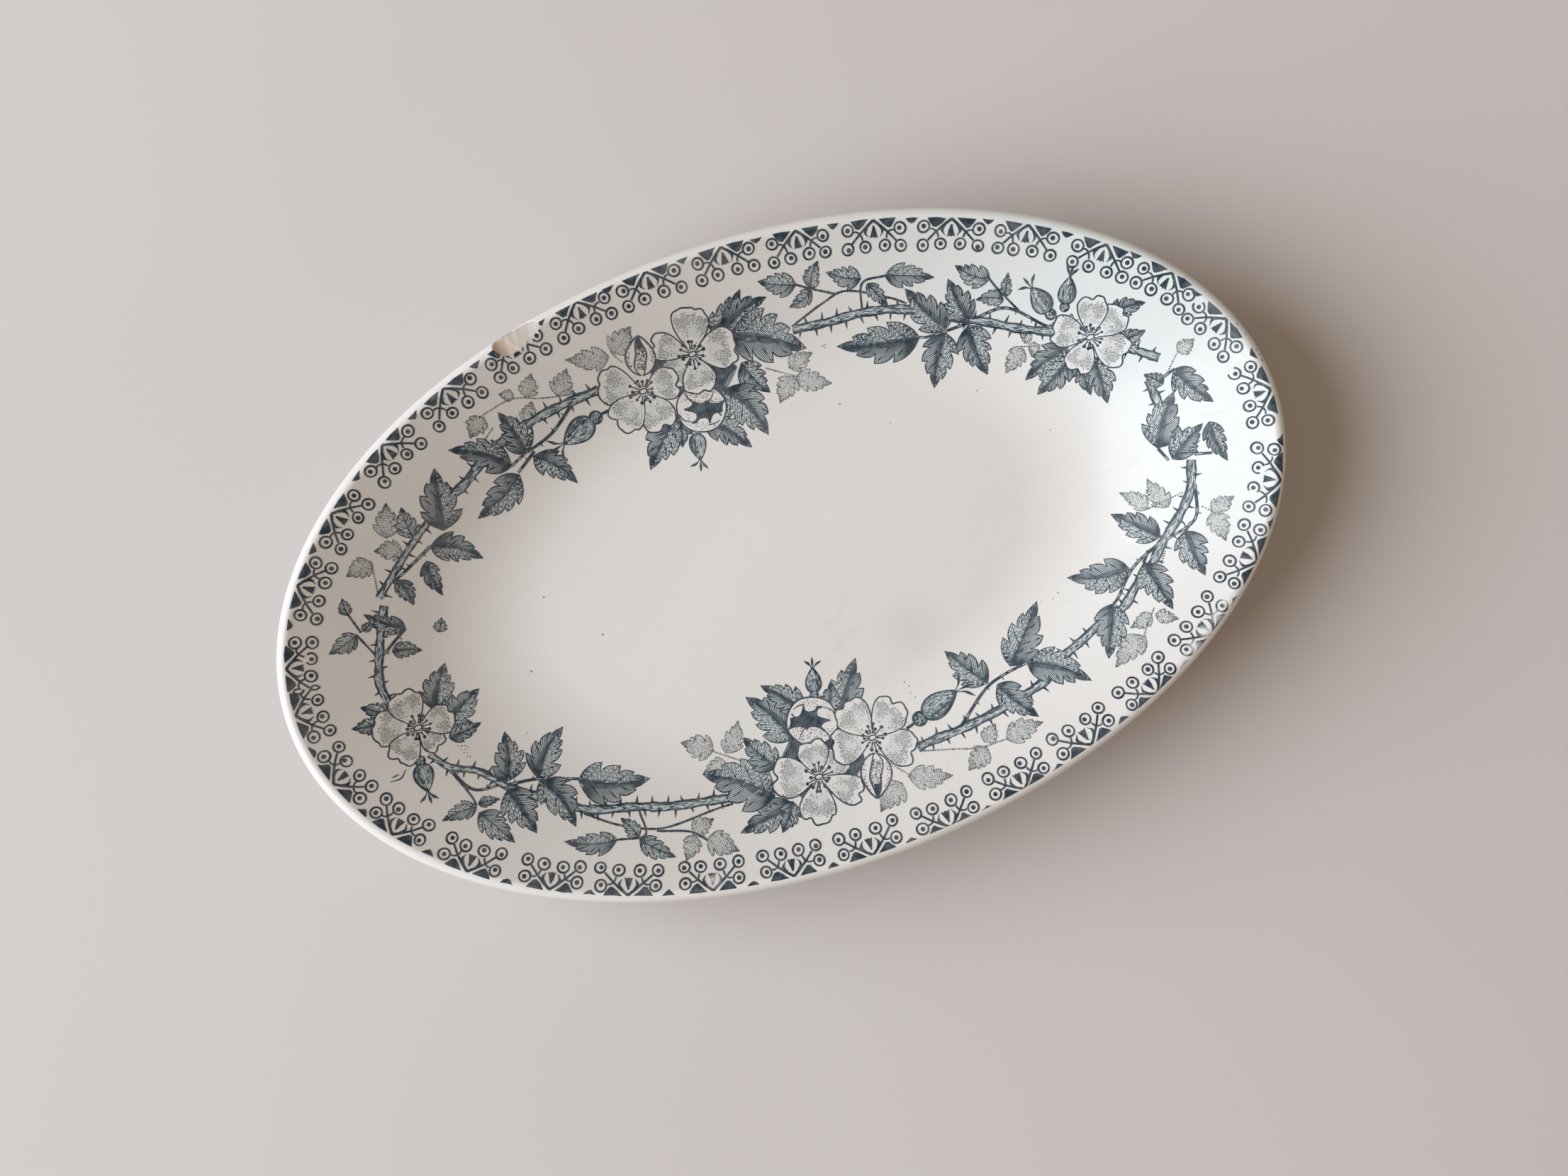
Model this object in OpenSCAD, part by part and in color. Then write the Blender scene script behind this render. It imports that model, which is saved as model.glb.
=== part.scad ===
// Oval relish dish of pressed earthenware with a luted foot ring and a clear glaze.
// X is the long axis, Y is the short axis, and the foot ring stands on Z = 0.
// Every section is drawn in the plane of the long axis, turned about Z in quarters and
// narrowed along Y, so that all the levels of the bowl are ellipses of one shape.

/* [Outline] */
// Overall length, over the lip
length = 240; // [180:1:320]
// Overall width, over the lip
width = 147; // [110:1:200]
// Overall height, from the table to the top of the lip
height = 30; // [26:0.5:44]

/* [Bowl] */
// Thickness of the pressed clay with its glaze, and of the rounded lip
body_thickness = 4.2; // [3.2:0.1:6]
// Slope of the side at the two ends of the oval, in degrees
wall_angle = 27; // [22:1:36]
// Radius of the cove between floor and side, at mid thickness, at the two ends
cove_radius = 66; // [30:1:90]

/* [Foot ring] */
// Height of the foot ring below the base
foot_height = 3.4; // [2:0.1:6]
// Width of the foot ring
foot_width = 4.4; // [3.2:0.1:7]
// Bevel on both edges of the standing face
foot_bevel = 0.8; // [0.2:0.1:1.2]
// How far the ring sits inside the edge of the flat floor
foot_inset = 1.5; // [0.5:0.1:6]

/* [Glaze] */
// Thickness of the glaze on both faces
glaze_thickness = 0.25; // [0.15:0.01:0.5]

/* [Rim chip] */
// Place of the chip round the oval, in degrees from +X
chip_angle = 111; // [0:1:359]
// Radius of the chip's hollow face
chip_radius = 9; // [5:0.5:15]
// How deep the chip goes into the lip
chip_depth = 2.1; // [0.5:0.1:3]
// How steeply the chip faces upward, in degrees above the horizon
chip_rise = 52; // [30:1:80]

/* [Hidden] */
$fn = 128;

clay_colour = [0.80, 0.72, 0.62];
glaze_colour = [0.87, 0.85, 0.82];

// Width of every ellipse of the bowl, as a share of its length
narrowing = width / length;

// The section is a centre line of even thickness with a round end at the lip.
half_thickness = body_thickness / 2;
clay_half = half_thickness - glaze_thickness;
base_mid_z = foot_height + half_thickness;
lip_x = length / 2 - half_thickness;
lip_z = height - half_thickness;
rise = lip_z - base_mid_z;
floor_x = lip_x - rise / tan(wall_angle) - cove_radius * tan(wall_angle / 2);
floor_y = floor_x * narrowing;
cove_steps = 6;
lip_steps = 6;

// The foot ring's outer and inner half axes.
foot_outer = [floor_x - foot_inset, floor_y - foot_inset];
foot_inner = foot_outer - [foot_width, foot_width];
foot_top = foot_height + glaze_thickness;

// The cutters reach past the faces that they cut by this much.
overcut = 1;

// Points of an arc from angle a0 to angle a1, both ends included.
function arc(centre, radius, a0, a1, steps) =
    [for (i = [0 : steps])
        let (a = a0 + (a1 - a0) * i / steps)
        centre + radius * [cos(a), sin(a)]];

function reversed(points) = [for (i = [len(points) - 1 : -1 : 0]) points[i]];

// Arc of the cove, at a distance from the centre line that is positive toward the inside.
function cove(offset, a0, a1) =
    arc([floor_x, base_mid_z + cove_radius], cove_radius - offset, a0, a1, cove_steps);

// Upper face of the section, from the middle of the floor to the tip of the lip.
function upper_face(half) = concat(
    [[0, base_mid_z + half]],
    cove(half, -90, wall_angle - 90),
    arc([lip_x, lip_z], half, wall_angle + 90, wall_angle, lip_steps));

// Lower face of the section, from the tip of the lip to the middle of the base.
function lower_face(half) = concat(
    arc([lip_x, lip_z], half, wall_angle, wall_angle - 90, lip_steps),
    cove(-half, wall_angle - 90, -90),
    [[0, base_mid_z - half]]);

// Turns a section about Z in quarters and narrows it along Y to the given share.
module oval(points, share) {
    for (turn = [0 : 90 : 270])
        scale([1, share, 1])
            rotate([0, 0, turn])
                rotate_extrude(angle = 90)
                    polygon(points);
}

// Solid elliptical disc between two heights.
module oval_disc(half_axes, z0, z1) {
    oval([[0, z0], [half_axes.x, z0], [half_axes.x, z1], [0, z1]], half_axes.y / half_axes.x);
}

// The ring's footprint, as a cutter for the glaze that the ring passes through.
module foot_seat() {
    difference() {
        oval_disc(foot_outer, foot_height - overcut, foot_top + overcut);
        oval_disc(foot_inner, foot_height - 2 * overcut, foot_top + 2 * overcut);
    }
}

// Hollow of the chip: a ball that bites the upper outer corner of the lip.
module chip_ball() {
    reach = chip_radius - chip_depth;
    outward = [narrowing * cos(chip_angle), sin(chip_angle)];
    side = outward / norm(outward);
    corner = [lip_x * cos(chip_angle), lip_x * narrowing * sin(chip_angle)]
        + half_thickness * cos(chip_rise) * side;
    translate([corner.x + reach * cos(chip_rise) * side.x,
               corner.y + reach * cos(chip_rise) * side.y,
               lip_z + (half_thickness + reach) * sin(chip_rise)])
        sphere(r = chip_radius);
}

// Pressed clay: floor, side and lip in one bat of even thickness.
module clay_body() {
    color(clay_colour)
        difference() {
            oval(concat(upper_face(clay_half), lower_face(clay_half)), narrowing);
            chip_ball();
        }
}

// Clay ring luted under the base; the dish stands on its lower face.
module foot_ring() {
    color(clay_colour)
        difference() {
            oval([[0, 0],
                  [foot_outer.x - foot_bevel, 0],
                  [foot_outer.x, foot_bevel],
                  [foot_outer.x, foot_top],
                  [0, foot_top]], foot_outer.y / foot_outer.x);
            oval([[0, -overcut],
                  [foot_inner.x + foot_bevel, -overcut],
                  [foot_inner.x + foot_bevel, 0],
                  [foot_inner.x, foot_bevel],
                  [foot_inner.x, foot_top + overcut],
                  [0, foot_top + overcut]], foot_inner.y / foot_inner.x);
        }
}

// Glaze over the upper face, from the middle of the floor to the tip of the lip.
module face_glaze() {
    color(glaze_colour)
        difference() {
            oval(concat(upper_face(half_thickness), reversed(upper_face(clay_half))), narrowing);
            chip_ball();
        }
}

// Glaze over the lower face, parted by the foot ring.
module back_glaze() {
    color(glaze_colour)
        difference() {
            oval(concat(lower_face(half_thickness), reversed(lower_face(clay_half))), narrowing);
            foot_seat();
            chip_ball();
        }
}

clay_body();
foot_ring();
face_glaze();
back_glaze();
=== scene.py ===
# %% [markdown]
# # An oval relish dish with a blue print
# The real dish is pressed from one bat of earthenware, footed with a luted clay ring, printed
# with a blue transfer and covered with a clear glaze. This lesson builds those layers one by one:
# the clay, the two coats of glaze, the foot, and then the print as a film of ink on the glaze.

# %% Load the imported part
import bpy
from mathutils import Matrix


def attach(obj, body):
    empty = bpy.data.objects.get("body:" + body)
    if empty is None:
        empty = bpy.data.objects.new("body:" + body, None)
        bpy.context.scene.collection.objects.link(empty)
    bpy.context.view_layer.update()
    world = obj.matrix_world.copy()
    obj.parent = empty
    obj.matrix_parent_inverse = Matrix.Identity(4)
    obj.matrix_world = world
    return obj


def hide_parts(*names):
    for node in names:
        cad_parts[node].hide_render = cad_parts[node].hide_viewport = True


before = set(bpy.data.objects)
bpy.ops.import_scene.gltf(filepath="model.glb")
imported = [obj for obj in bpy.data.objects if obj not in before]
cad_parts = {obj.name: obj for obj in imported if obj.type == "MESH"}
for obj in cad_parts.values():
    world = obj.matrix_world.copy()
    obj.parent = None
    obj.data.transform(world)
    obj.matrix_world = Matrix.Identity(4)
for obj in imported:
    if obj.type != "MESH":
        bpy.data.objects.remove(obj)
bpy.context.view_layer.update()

# %% Tools for the lesson
import math

import bpy
import numpy as np
from mathutils import Vector
from mathutils.geometry import delaunay_2d_cdt

MM = 0.001
TURN = 2 * math.pi
TINY = 1e-9
print("Blender", bpy.app.version_string, "works in metres, so a millimetre is", MM)

# %% [markdown]
# ## The upper face
# Seen from the side, the dish is a flat floor, a cove and a straight sloping side that ends in a
# rounded lip. All its levels are ellipses of one shape. A mesh could be drawn by hand and
# smoothed, but a formula is better here: the print has to lie on the same surface, and with a
# formula every ink line can ask for its own height.

# %% Section of the dish, in millimetres
FLOOR_Z = 7.6
FLOOR_REACH = 58.67
COVE_RADIUS = 63.9
SIDE_ANGLE = math.radians(27)
COVE_REACH = COVE_RADIUS * math.sin(SIDE_ANGLE)
FACE_REACH = 117.38
NARROWING = 0.601
LIP_RADIUS = 1.8
LIP_STOP = 0.97 * LIP_RADIUS


def section(reach):
    """Height and steepness of the upper face at a reach along the long axis."""
    bend = np.clip(reach - FLOOR_REACH, 0, COVE_REACH)
    drop = np.sqrt(COVE_RADIUS**2 - bend**2)
    past = np.maximum(reach - FLOOR_REACH - COVE_REACH, 0)
    return FLOOR_Z + COVE_RADIUS - drop + past * math.tan(SIDE_ANGLE), bend / drop


def outward(x, y):
    """Reach of the ellipse through a point, the way out of it, and how fast reach grows that way."""
    reach = np.maximum(np.hypot(x, y / NARROWING), TINY)
    gx, gy = x / reach, y / (NARROWING**2 * reach)
    gain = np.maximum(np.hypot(gx, gy), TINY)
    return reach, gx / gain, gy / gain, gain


def lift(x, y, height):
    """Points in millimetres at a height over the glaze, above plan points of the upper face."""
    reach, ox, oy, gain = outward(x, y)
    z, steep = section(np.minimum(reach, FACE_REACH))
    tilt = np.arctan(steep * gain)
    beyond = np.maximum(reach - FACE_REACH, 0) / gain
    on_lip = np.clip(beyond - LIP_RADIUS * np.sin(tilt), -LIP_RADIUS, LIP_STOP)
    lean = np.where(beyond > 0, on_lip / LIP_RADIUS, -np.sin(tilt))
    rise = np.sqrt(1 - lean**2)
    z = np.where(beyond > 0, z + LIP_RADIUS * (rise - np.cos(tilt)), z)
    return np.stack([x + height * lean * ox, y + height * lean * oy, z + height * rise], -1)


lip_z = float(section(FACE_REACH)[0])
print("floor is", FLOOR_REACH * 2, "mm long, lip stands at", round(lip_z, 2))

# %% [markdown]
# ## Making a piece
# Every piece is a closed mesh in metres that rides on the dish's only body. One helper does what
# they all need: it writes the mesh, gives it a finish, and says which solid it replaces.

# %% Helper that makes a piece
def make_piece(name, points_mm, faces, finish, slot, stands_for=(), smooth=True):
    mesh = bpy.data.meshes.new(name)
    mesh.from_pydata((np.asarray(points_mm) * MM).tolist(), [], faces)
    mesh.materials.append(finish)
    mesh.polygons.foreach_set("use_smooth", np.full(len(mesh.polygons), smooth))
    mesh.update()
    piece = bpy.data.objects.new(name, mesh)
    bpy.context.scene.collection.objects.link(piece)
    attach(piece, "root")
    if stands_for:
        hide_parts(*stands_for)
    print(name, "has", len(mesh.vertices), "points and", len(mesh.polygons), "faces")
    return piece

# %% [markdown]
# ## Finishes
# A finish is a small tree of nodes. It could be put together by hand in the shader editor, but
# written as code it reads from top to bottom like a recipe: each helper adds one node, sets or
# links its inputs and gives its output. All scales count in the object's own metres, so the grain
# of a finish keeps its size wherever the dish stands.

# %% Helpers that add a node
MIX_SHARE, MIX_FIRST, MIX_SECOND, MIX_RESULT = 0, 6, 7, 2


def add(tree, kind, inputs, output=0, **settings):
    """Adds a node, sets or links its inputs by name, and gives one of its outputs."""
    node = tree.nodes.new(kind)
    for key, value in settings.items():
        setattr(node, key, value)
    for key, value in inputs.items():
        if isinstance(value, bpy.types.NodeSocket):
            tree.links.new(value, node.inputs[key])
        else:
            node.inputs[key].default_value = value
    return node.outputs[output]


def noise(tree, where, scale, detail=3.0, roughness=0.5):
    return add(tree, "ShaderNodeTexNoise", {
        "Vector": where, "Scale": scale, "Detail": detail, "Roughness": roughness})


def spread(tree, value, low, high, to_low=0.0, to_high=1.0):
    return add(tree, "ShaderNodeMapRange", {
        "Value": value, "From Min": low, "From Max": high, "To Min": to_low, "To Max": to_high})


def mixed(tree, share, first, second):
    """Mixes two colours, each a socket or red, green and blue, by a share from nothing to one."""
    first, second = (c if isinstance(c, bpy.types.NodeSocket) else (*c, 1) for c in (first, second))
    return add(tree, "ShaderNodeMix", {MIX_SHARE: share, MIX_FIRST: first, MIX_SECOND: second},
               MIX_RESULT, data_type="RGBA")


def product(tree, first, second):
    return add(tree, "ShaderNodeMath", {0: first, 1: second}, operation="MULTIPLY")


def height_of(tree, where):
    return add(tree, "ShaderNodeSeparateXYZ", {"Vector": where}, "Z")


def near(tree, where, point_mm, inner_mm, outer_mm):
    """One within the inner distance of a point, falling to nothing at the outer distance."""
    gap = add(tree, "ShaderNodeVectorMath", {
        0: where, 1: [c * MM for c in point_mm]}, "Value", operation="DISTANCE")
    return spread(tree, gap, inner_mm * MM, outer_mm * MM, 1.0, 0.0)


node_helpers = (noise, spread, mixed, product, height_of, near)
print("node helpers:", ", ".join(helper.__name__ for helper in node_helpers))

# %% Helpers that start and complete a finish
def new_finish(name):
    finish = bpy.data.materials.new(name)
    finish.use_nodes = True
    tree = finish.node_tree
    where = tree.nodes.new("ShaderNodeTexCoord").outputs["Object"]
    print("finish:", name)
    return finish, tree, tree.nodes["Principled BSDF"], where


def dress(tree, shade, colour, roughness):
    tree.links.new(colour, shade.inputs["Base Color"])
    tree.links.new(roughness, shade.inputs["Roughness"])


def set_bump(tree, shade, height, strength, distance_mm):
    normal = add(tree, "ShaderNodeBump", {
        "Height": height, "Strength": strength, "Distance": distance_mm * MM})
    tree.links.new(normal, shade.inputs["Normal"])

# %% [markdown]
# ## Glaze
# The white is not one colour. The clear glaze lies over a warm body, carries tiny kiln specks and
# is crazed in places, and a cool cast is painted high on the side near one end, a painted cool light
# that stands in for the cooler light falling there. An image could hold that, but noise and cell
# nodes stay sharp at any distance and need no file. The few specks and nicks that the eye finds
# first have places of their own.

# %% Colour of the glaze
GLAZE_WHITE = (0.735, 0.699, 0.668)
GLAZE_WARM = (0.715, 0.669, 0.631)
GLAZE_COOL_LIGHT = (0.708, 0.724, 0.711)
SPECK_BROWN = (0.16, 0.10, 0.07)
CLOUD_SCALE, SPECK_SCALE, GLOSS_SCALE = 16, 115, 90
COOL_LIGHT_AT, COOL_LIGHT_INNER, COOL_LIGHT_OUTER = (90.0, 28.0, 22.0), 14, 88
SIDE_STARTS, SIDE_FULL = 9.5 * MM, 18 * MM


def glaze_colour(tree, where):
    """White warmer in clouds, with tiny specks and painted cool light near one end of the side."""
    warm = spread(tree, noise(tree, where, CLOUD_SCALE, 2), 0.35, 0.75)
    white = mixed(tree, warm, GLAZE_WHITE, GLAZE_WARM)
    # painted cool light: the white turns cooler high on the side, round one point near the far end
    on_side = spread(tree, height_of(tree, where), SIDE_STARTS, SIDE_FULL)
    cool_light = product(tree, on_side, near(tree, where, COOL_LIGHT_AT, COOL_LIGHT_INNER, COOL_LIGHT_OUTER))
    white = mixed(tree, cool_light, white, GLAZE_COOL_LIGHT)
    cells = add(tree, "ShaderNodeTexVoronoi", {"Vector": where, "Scale": SPECK_SCALE}).node
    chosen = add(tree, "ShaderNodeSeparateColor", {"Color": cells.outputs["Color"]})
    few = spread(tree, chosen, 0.90, 0.905)
    spot = spread(tree, cells.outputs["Distance"], 0.012, 0.024, 0.75, 0.0)
    return mixed(tree, product(tree, few, spot), white, SPECK_BROWN)


def gloss(tree, where):
    """Roughness of the fired glaze, a little uneven."""
    return spread(tree, noise(tree, where, GLOSS_SCALE, 3), 0.3, 0.7, 0.18, 0.26)


print("glaze pools round", COOL_LIGHT_AT, "and is cool there")

# %% Finish of the glaze
CRAZE_GREY = (0.42, 0.37, 0.33)
CRAZE_SCALE, CRAZE_WANDER_SCALE, CRAZE_ZONE_SCALE = 55.0, 60.0, 11
CRAZE_WANDER = 4 * MM
STAIN_AT, STAIN_INNER, STAIN_OUTER = (23.8, -26.5, 8), 1, 9
STAIN_SCALE, STAIN_SHARE = 140, 0.28
SPECK_CORE, SPECK_SHARE = 0.4, 0.85
GLAZE_SHINE = 0.24
RIPPLE_SCALE, RIPPLE_STRENGTH, RIPPLE_HEIGHT = 130, 0.25, 0.05
FLOOR_SPECKS = [(-46.0, -3.7, 0.34), (24.9, 29.5, 0.30), (-64.8, -6.4, 0.36), (-56.3, 9.3, 0.32),
                (56.6, 21.9, 0.24), (69.9, 7.4, 0.22), (34.7, 21.3, 0.20)]
RIM_NICKS = [(116.1, 15.9, 0.30), (117.2, 13.3, 0.26), (118.3, 8.9, 0.30), (118.6, 7.6, 0.24),
             (118.8, 6.2, 0.36)]


def crazing(tree, where, share):
    """Thin lines between wandering cells, in some zones only."""
    wander = add(tree, "ShaderNodeTexNoise", {"Vector": where, "Scale": CRAZE_WANDER_SCALE}, "Color")
    warped = add(tree, "ShaderNodeVectorMath", {0: where, 1: wander, 2: [CRAZE_WANDER] * 3},
                 operation="MULTIPLY_ADD")
    edge = add(tree, "ShaderNodeTexVoronoi", {"Vector": warped, "Scale": CRAZE_SCALE},
               "Distance", feature="DISTANCE_TO_EDGE")
    line = spread(tree, edge, 0.004, 0.014, 1.0, 0.0)
    zone = spread(tree, noise(tree, where, CRAZE_ZONE_SCALE, 1), 0.46, 0.62, 0.0, share)
    return product(tree, line, zone)


def glaze_finish(name, crazed):
    finish, tree, shade, where = new_finish(name)
    colour = mixed(tree, crazing(tree, where, crazed), glaze_colour(tree, where), CRAZE_GREY)
    by_stain = near(tree, where, STAIN_AT, STAIN_INNER, STAIN_OUTER)
    stain = product(tree, by_stain, noise(tree, where, STAIN_SCALE, 4))
    colour = mixed(tree, product(tree, stain, STAIN_SHARE), colour, CRAZE_GREY)
    for x, y, size in FLOOR_SPECKS + RIM_NICKS:
        speck = near(tree, where, (x, y, lift(x, y, 0.0)[2]), SPECK_CORE * size, size)
        colour = mixed(tree, product(tree, speck, SPECK_SHARE), colour, SPECK_BROWN)
    dress(tree, shade, colour, gloss(tree, where))
    shade.inputs["Specular IOR Level"].default_value = GLAZE_SHINE
    ripple = noise(tree, where, RIPPLE_SCALE, 2)
    set_bump(tree, shade, ripple, RIPPLE_STRENGTH, RIPPLE_HEIGHT)
    return finish


upper_finish = glaze_finish("glaze over white", 0.07)
lower_finish = glaze_finish("glaze on the back", 0.35)

# %% [markdown]
# ## Bare clay
# Where the glaze is broken off, the clay under it shows: cream, rough, a little soiled, and tan at
# one end, where it has soaked up stain. One flat colour would look like plaster, so noise soils
# it, a bump roughens it, and the distance from a point warms it toward the stained end.

# %% Finish of the bare clay
CLAY_TAN = (0.65, 0.515, 0.410)
CLAY_CREAM = (0.495, 0.435, 0.380)
CLAY_SOIL = (0.30, 0.23, 0.17)
SOIL_SCALE, GRAIN_SCALE, TOOTH_SCALE = 420, 700, 900
TAN_END, TAN_INNER, TAN_OUTER = (-48.3, 64.6, 29.0), 4.0, 8.2


def clay_finish(name, soiled):
    finish, tree, shade, where = new_finish(name)
    stained = near(tree, where, TAN_END, TAN_INNER, TAN_OUTER)
    body = mixed(tree, stained, CLAY_CREAM, CLAY_TAN)
    dirt = spread(tree, noise(tree, where, SOIL_SCALE, 4, 0.7), 0.50, 0.75, 0.0, soiled)
    rough = spread(tree, noise(tree, where, TOOTH_SCALE, 2), 0.3, 0.7, 0.72, 0.9)
    dress(tree, shade, mixed(tree, dirt, body, CLAY_SOIL), rough)
    set_bump(tree, shade, noise(tree, where, GRAIN_SCALE, 4), 0.45, 0.16)
    return finish


biscuit_finish = clay_finish("broken clay", 0.14)

# %% [markdown]
# ## The rim chip
# The lip has lost a flake on one long side, and the clay shows there. A boolean cut would leave a
# messy seam in the thin glaze. Here the clay's points are lowered to the broken face instead, and
# the glaze dips below that face, so the two surfaces cross in a crisp ragged line.

# %% Shape of the chip
CHIP_TURN = math.radians(110.2)
CHIP_HALF = 6.4
CHIP_BITE, CHIP_SKEW = 1.45, 0.11
CHIP_FLARE, CHIP_FLARE_AT = 1.95, 5.9
CHIP_FIELD, CHIP_MARGIN, CHIP_BEYOND = 9, 0.6, 6
chip_foot = np.array([
    FACE_REACH * math.cos(CHIP_TURN), NARROWING * FACE_REACH * math.sin(CHIP_TURN)])
_, chip_ox, chip_oy, chip_gain = outward(*chip_foot)
chip_out = np.array([chip_ox, chip_oy])
chip_along = np.array([-chip_oy, chip_ox])
chip_rim_z, chip_steep = section(FACE_REACH)
chip_steep = chip_steep * chip_gain


def chip_inner_edge(t):
    """How far out the break starts, at a place along the lip."""
    return -CHIP_BITE - CHIP_SKEW * t + CHIP_FLARE * (np.abs(t) / CHIP_FLARE_AT) ** 4


def chip_face(points):
    """Height of the broken face over plan points, and where it applies."""
    gap = points[:, :2] - chip_foot
    t, out = gap @ chip_along, gap @ chip_out
    start = chip_inner_edge(t)
    past = np.maximum(out - start, 0)
    ragged = 0.09 * np.sin(1.3 * t + 0.6) + 0.05 * np.sin(2.3 * t + 2.0) + 0.03 * np.sin(5.1 * t)
    ridges = 0.10 * np.exp(-((t - 1.6 - 0.4 * out) / 0.7) ** 2) + 0.02 * np.sin(3.1 * t + out)
    floor = start * chip_steep - 0.02 * (out + 1.5)
    face = chip_rim_z + floor + ridges + ragged * np.exp(-past / 0.35)
    return face, (np.abs(t) < CHIP_FIELD) & (out > start - CHIP_MARGIN) & (out < CHIP_BEYOND)


def chipped(points, below, cover=0.0):
    """Moves points over the broken face, or less than a cover under it, to a depth below it."""
    face, applies = chip_face(points)
    points = points.copy()
    over = applies & (points[:, 2] + cover > face)
    points[over, 2] = face[over] - below
    return points


print("chip is", 2 * CHIP_HALF, "mm long at", chip_foot.round(1))

# %% [markdown]
# ## Clay and glaze
# Each layer is a shell of rings, from a point at the middle of the floor out to the lip and back.
# A lathe tool would make round rings, and a solid with a thickness modifier would know nothing of
# the chip, so the rings are worked out here. Their points are closer together at the chip, for a
# fine edge. The coats of glaze are a quarter of a millimetre thick, as on the real ware.

# %% Rings round the dish
GLAZE_THICK = 0.25
FLOOR_THICK = 4.2
THINNING_LENGTH = 35
EVEN_POINTS, CHIP_POINTS = 560, 96
CHIP_WINDOW, CHIP_CLEARED = 0.062, 0.063
chip_window = np.linspace(CHIP_TURN - CHIP_WINDOW, CHIP_TURN + CHIP_WINDOW, CHIP_POINTS)
even = np.linspace(0, TURN, EVEN_POINTS, endpoint=False)
turns = np.sort(np.concatenate([even[np.abs(even - CHIP_TURN) > CHIP_CLEARED], chip_window]))
COS, SIN = np.cos(turns), np.sin(turns)


def thickness(reach):
    ease = np.clip((FACE_REACH - reach) / THINNING_LENGTH, 0, 1)
    return 2 * LIP_RADIUS + (FLOOR_THICK - 2 * LIP_RADIUS) * ease * ease * (3 - 2 * ease)


def face_ring(reach, height):
    return lift(reach * COS, NARROWING * reach * SIN, np.full(len(turns), float(height)))


def under_ring(reach, inset):
    return face_ring(reach, inset - thickness(reach))


def lip_ring(angle, inset):
    """Ring of the rounded lip at an angle from the upper face, round to the lower face at 180."""
    edge = face_ring(FACE_REACH, 0)
    normal = face_ring(FACE_REACH, 1) - edge
    _, ox, oy, _ = outward(edge[:, 0], edge[:, 1])
    out = np.stack([ox, oy, np.zeros_like(ox)], -1)
    side = out - (out * normal).sum(1)[:, None] * normal
    side /= np.linalg.norm(side, axis=1)[:, None]
    turn = math.radians(angle)
    centre = edge - LIP_RADIUS * normal
    return centre + (LIP_RADIUS - inset) * (math.cos(turn) * normal + math.sin(turn) * side)


print(len(turns), "points in a ring,", CHIP_POINTS, "of them at the chip")

# %% Closed shell through the rings
def band(a, b, count):
    """Faces between two rings of points that start at a and b."""
    return [(a + j, b + j, b + (j + 1) % count, a + (j + 1) % count) for j in range(count)]


def shell(rings):
    """Closed surface through rings; the first and last rings close in a point."""
    count = len(turns)
    points = np.concatenate([rings[0].mean(0)[None], *rings[1:-1], rings[-1].mean(0)[None]])
    starts = [1 + i * count for i in range(len(rings) - 2)]
    last = len(points) - 1
    faces = [(0, 1 + j, 1 + (j + 1) % count) for j in range(count)]
    for a, b in zip(starts, starts[1:]):
        faces += band(a, b, count)
    faces += [(starts[-1] + j, last, starts[-1] + (j + 1) % count) for j in range(count)]
    return points, faces


COVE_ENDS = FLOOR_REACH, FLOOR_REACH + COVE_REACH
fine = np.concatenate([
    [0, 4, 12, 22, 34, 46, 54, 57.5], np.linspace(*COVE_ENDS, 24),
    np.linspace(90, 109, 9), np.linspace(110, FACE_REACH, 26)])
plain = np.concatenate([[0, 20, 50], np.linspace(*COVE_ENDS, 12), [100, FACE_REACH]])
SEAM_ANGLE = 130
lip_over = np.linspace(0, SEAM_ANGLE, 28)[1:]
lip_under = np.linspace(SEAM_ANGLE, 180, 7)
print(len(fine), "fine rings or", len(plain), "plain ones from the middle to the lip")

# %% Pressed clay body
FACE_COVER, LIP_COVER = 0.32, 0.30
rings = [chipped(face_ring(r, -GLAZE_THICK), 0, FACE_COVER) for r in fine]
rings += [chipped(lip_ring(a, GLAZE_THICK), 0, LIP_COVER) for a in np.linspace(0, 180, 40)[1:]]
rings += [under_ring(r, GLAZE_THICK) for r in plain[::-1][1:]]
make_piece("pressed_body", *shell(rings), biscuit_finish, "biscuit", ["clay_body"])

# %% Glaze over the upper face and the lip
COAT_DIP, COAT_BACK_DIP, COAT_BURIED = 0.08, 0.30, 0.55
rings = [chipped(face_ring(r, 0), COAT_DIP) for r in fine]
rings += [chipped(lip_ring(a, 0), COAT_DIP) for a in lip_over]
rings += [chipped(lip_ring(a, GLAZE_THICK), COAT_BURIED) for a in lip_over[::-3]]
rings += [chipped(face_ring(r, -GLAZE_THICK), COAT_BURIED) for r in plain[::-1]]
make_piece("upper_glaze", *shell(rings), upper_finish, "glaze", ["face_glaze"])

# %% Glaze over the lower face
rings = [under_ring(r, GLAZE_THICK) for r in plain]
rings += [chipped(lip_ring(a, GLAZE_THICK), COAT_BURIED) for a in lip_under[::-1]]
rings += [chipped(lip_ring(a, 0), COAT_BACK_DIP) for a in lip_under]
rings += [under_ring(r, 0) for r in fine[::-1][1:]]
make_piece("lower_glaze", *shell(rings), lower_finish, "glaze", ["back_glaze"])

# %% [markdown]
# ## The foot ring
# The foot is a rolled ring of clay pressed onto the base. Glaze runs over both its sides, and the
# edge it stands on was wiped clean before the firing, so bare clay shows there. A torus would be
# too round. Here the section is a short list of points that is carried round two ellipses, one for
# each side of the ring, and the height of a point says whether the finish is glaze or clay.

# %% Finish of the foot ring
WIPED_TO, GLAZED_FROM = 0.95 * MM, 1.25 * MM
WIPE_SCALE, WIPE_RAGGED = 240, 0.9 * MM


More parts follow.
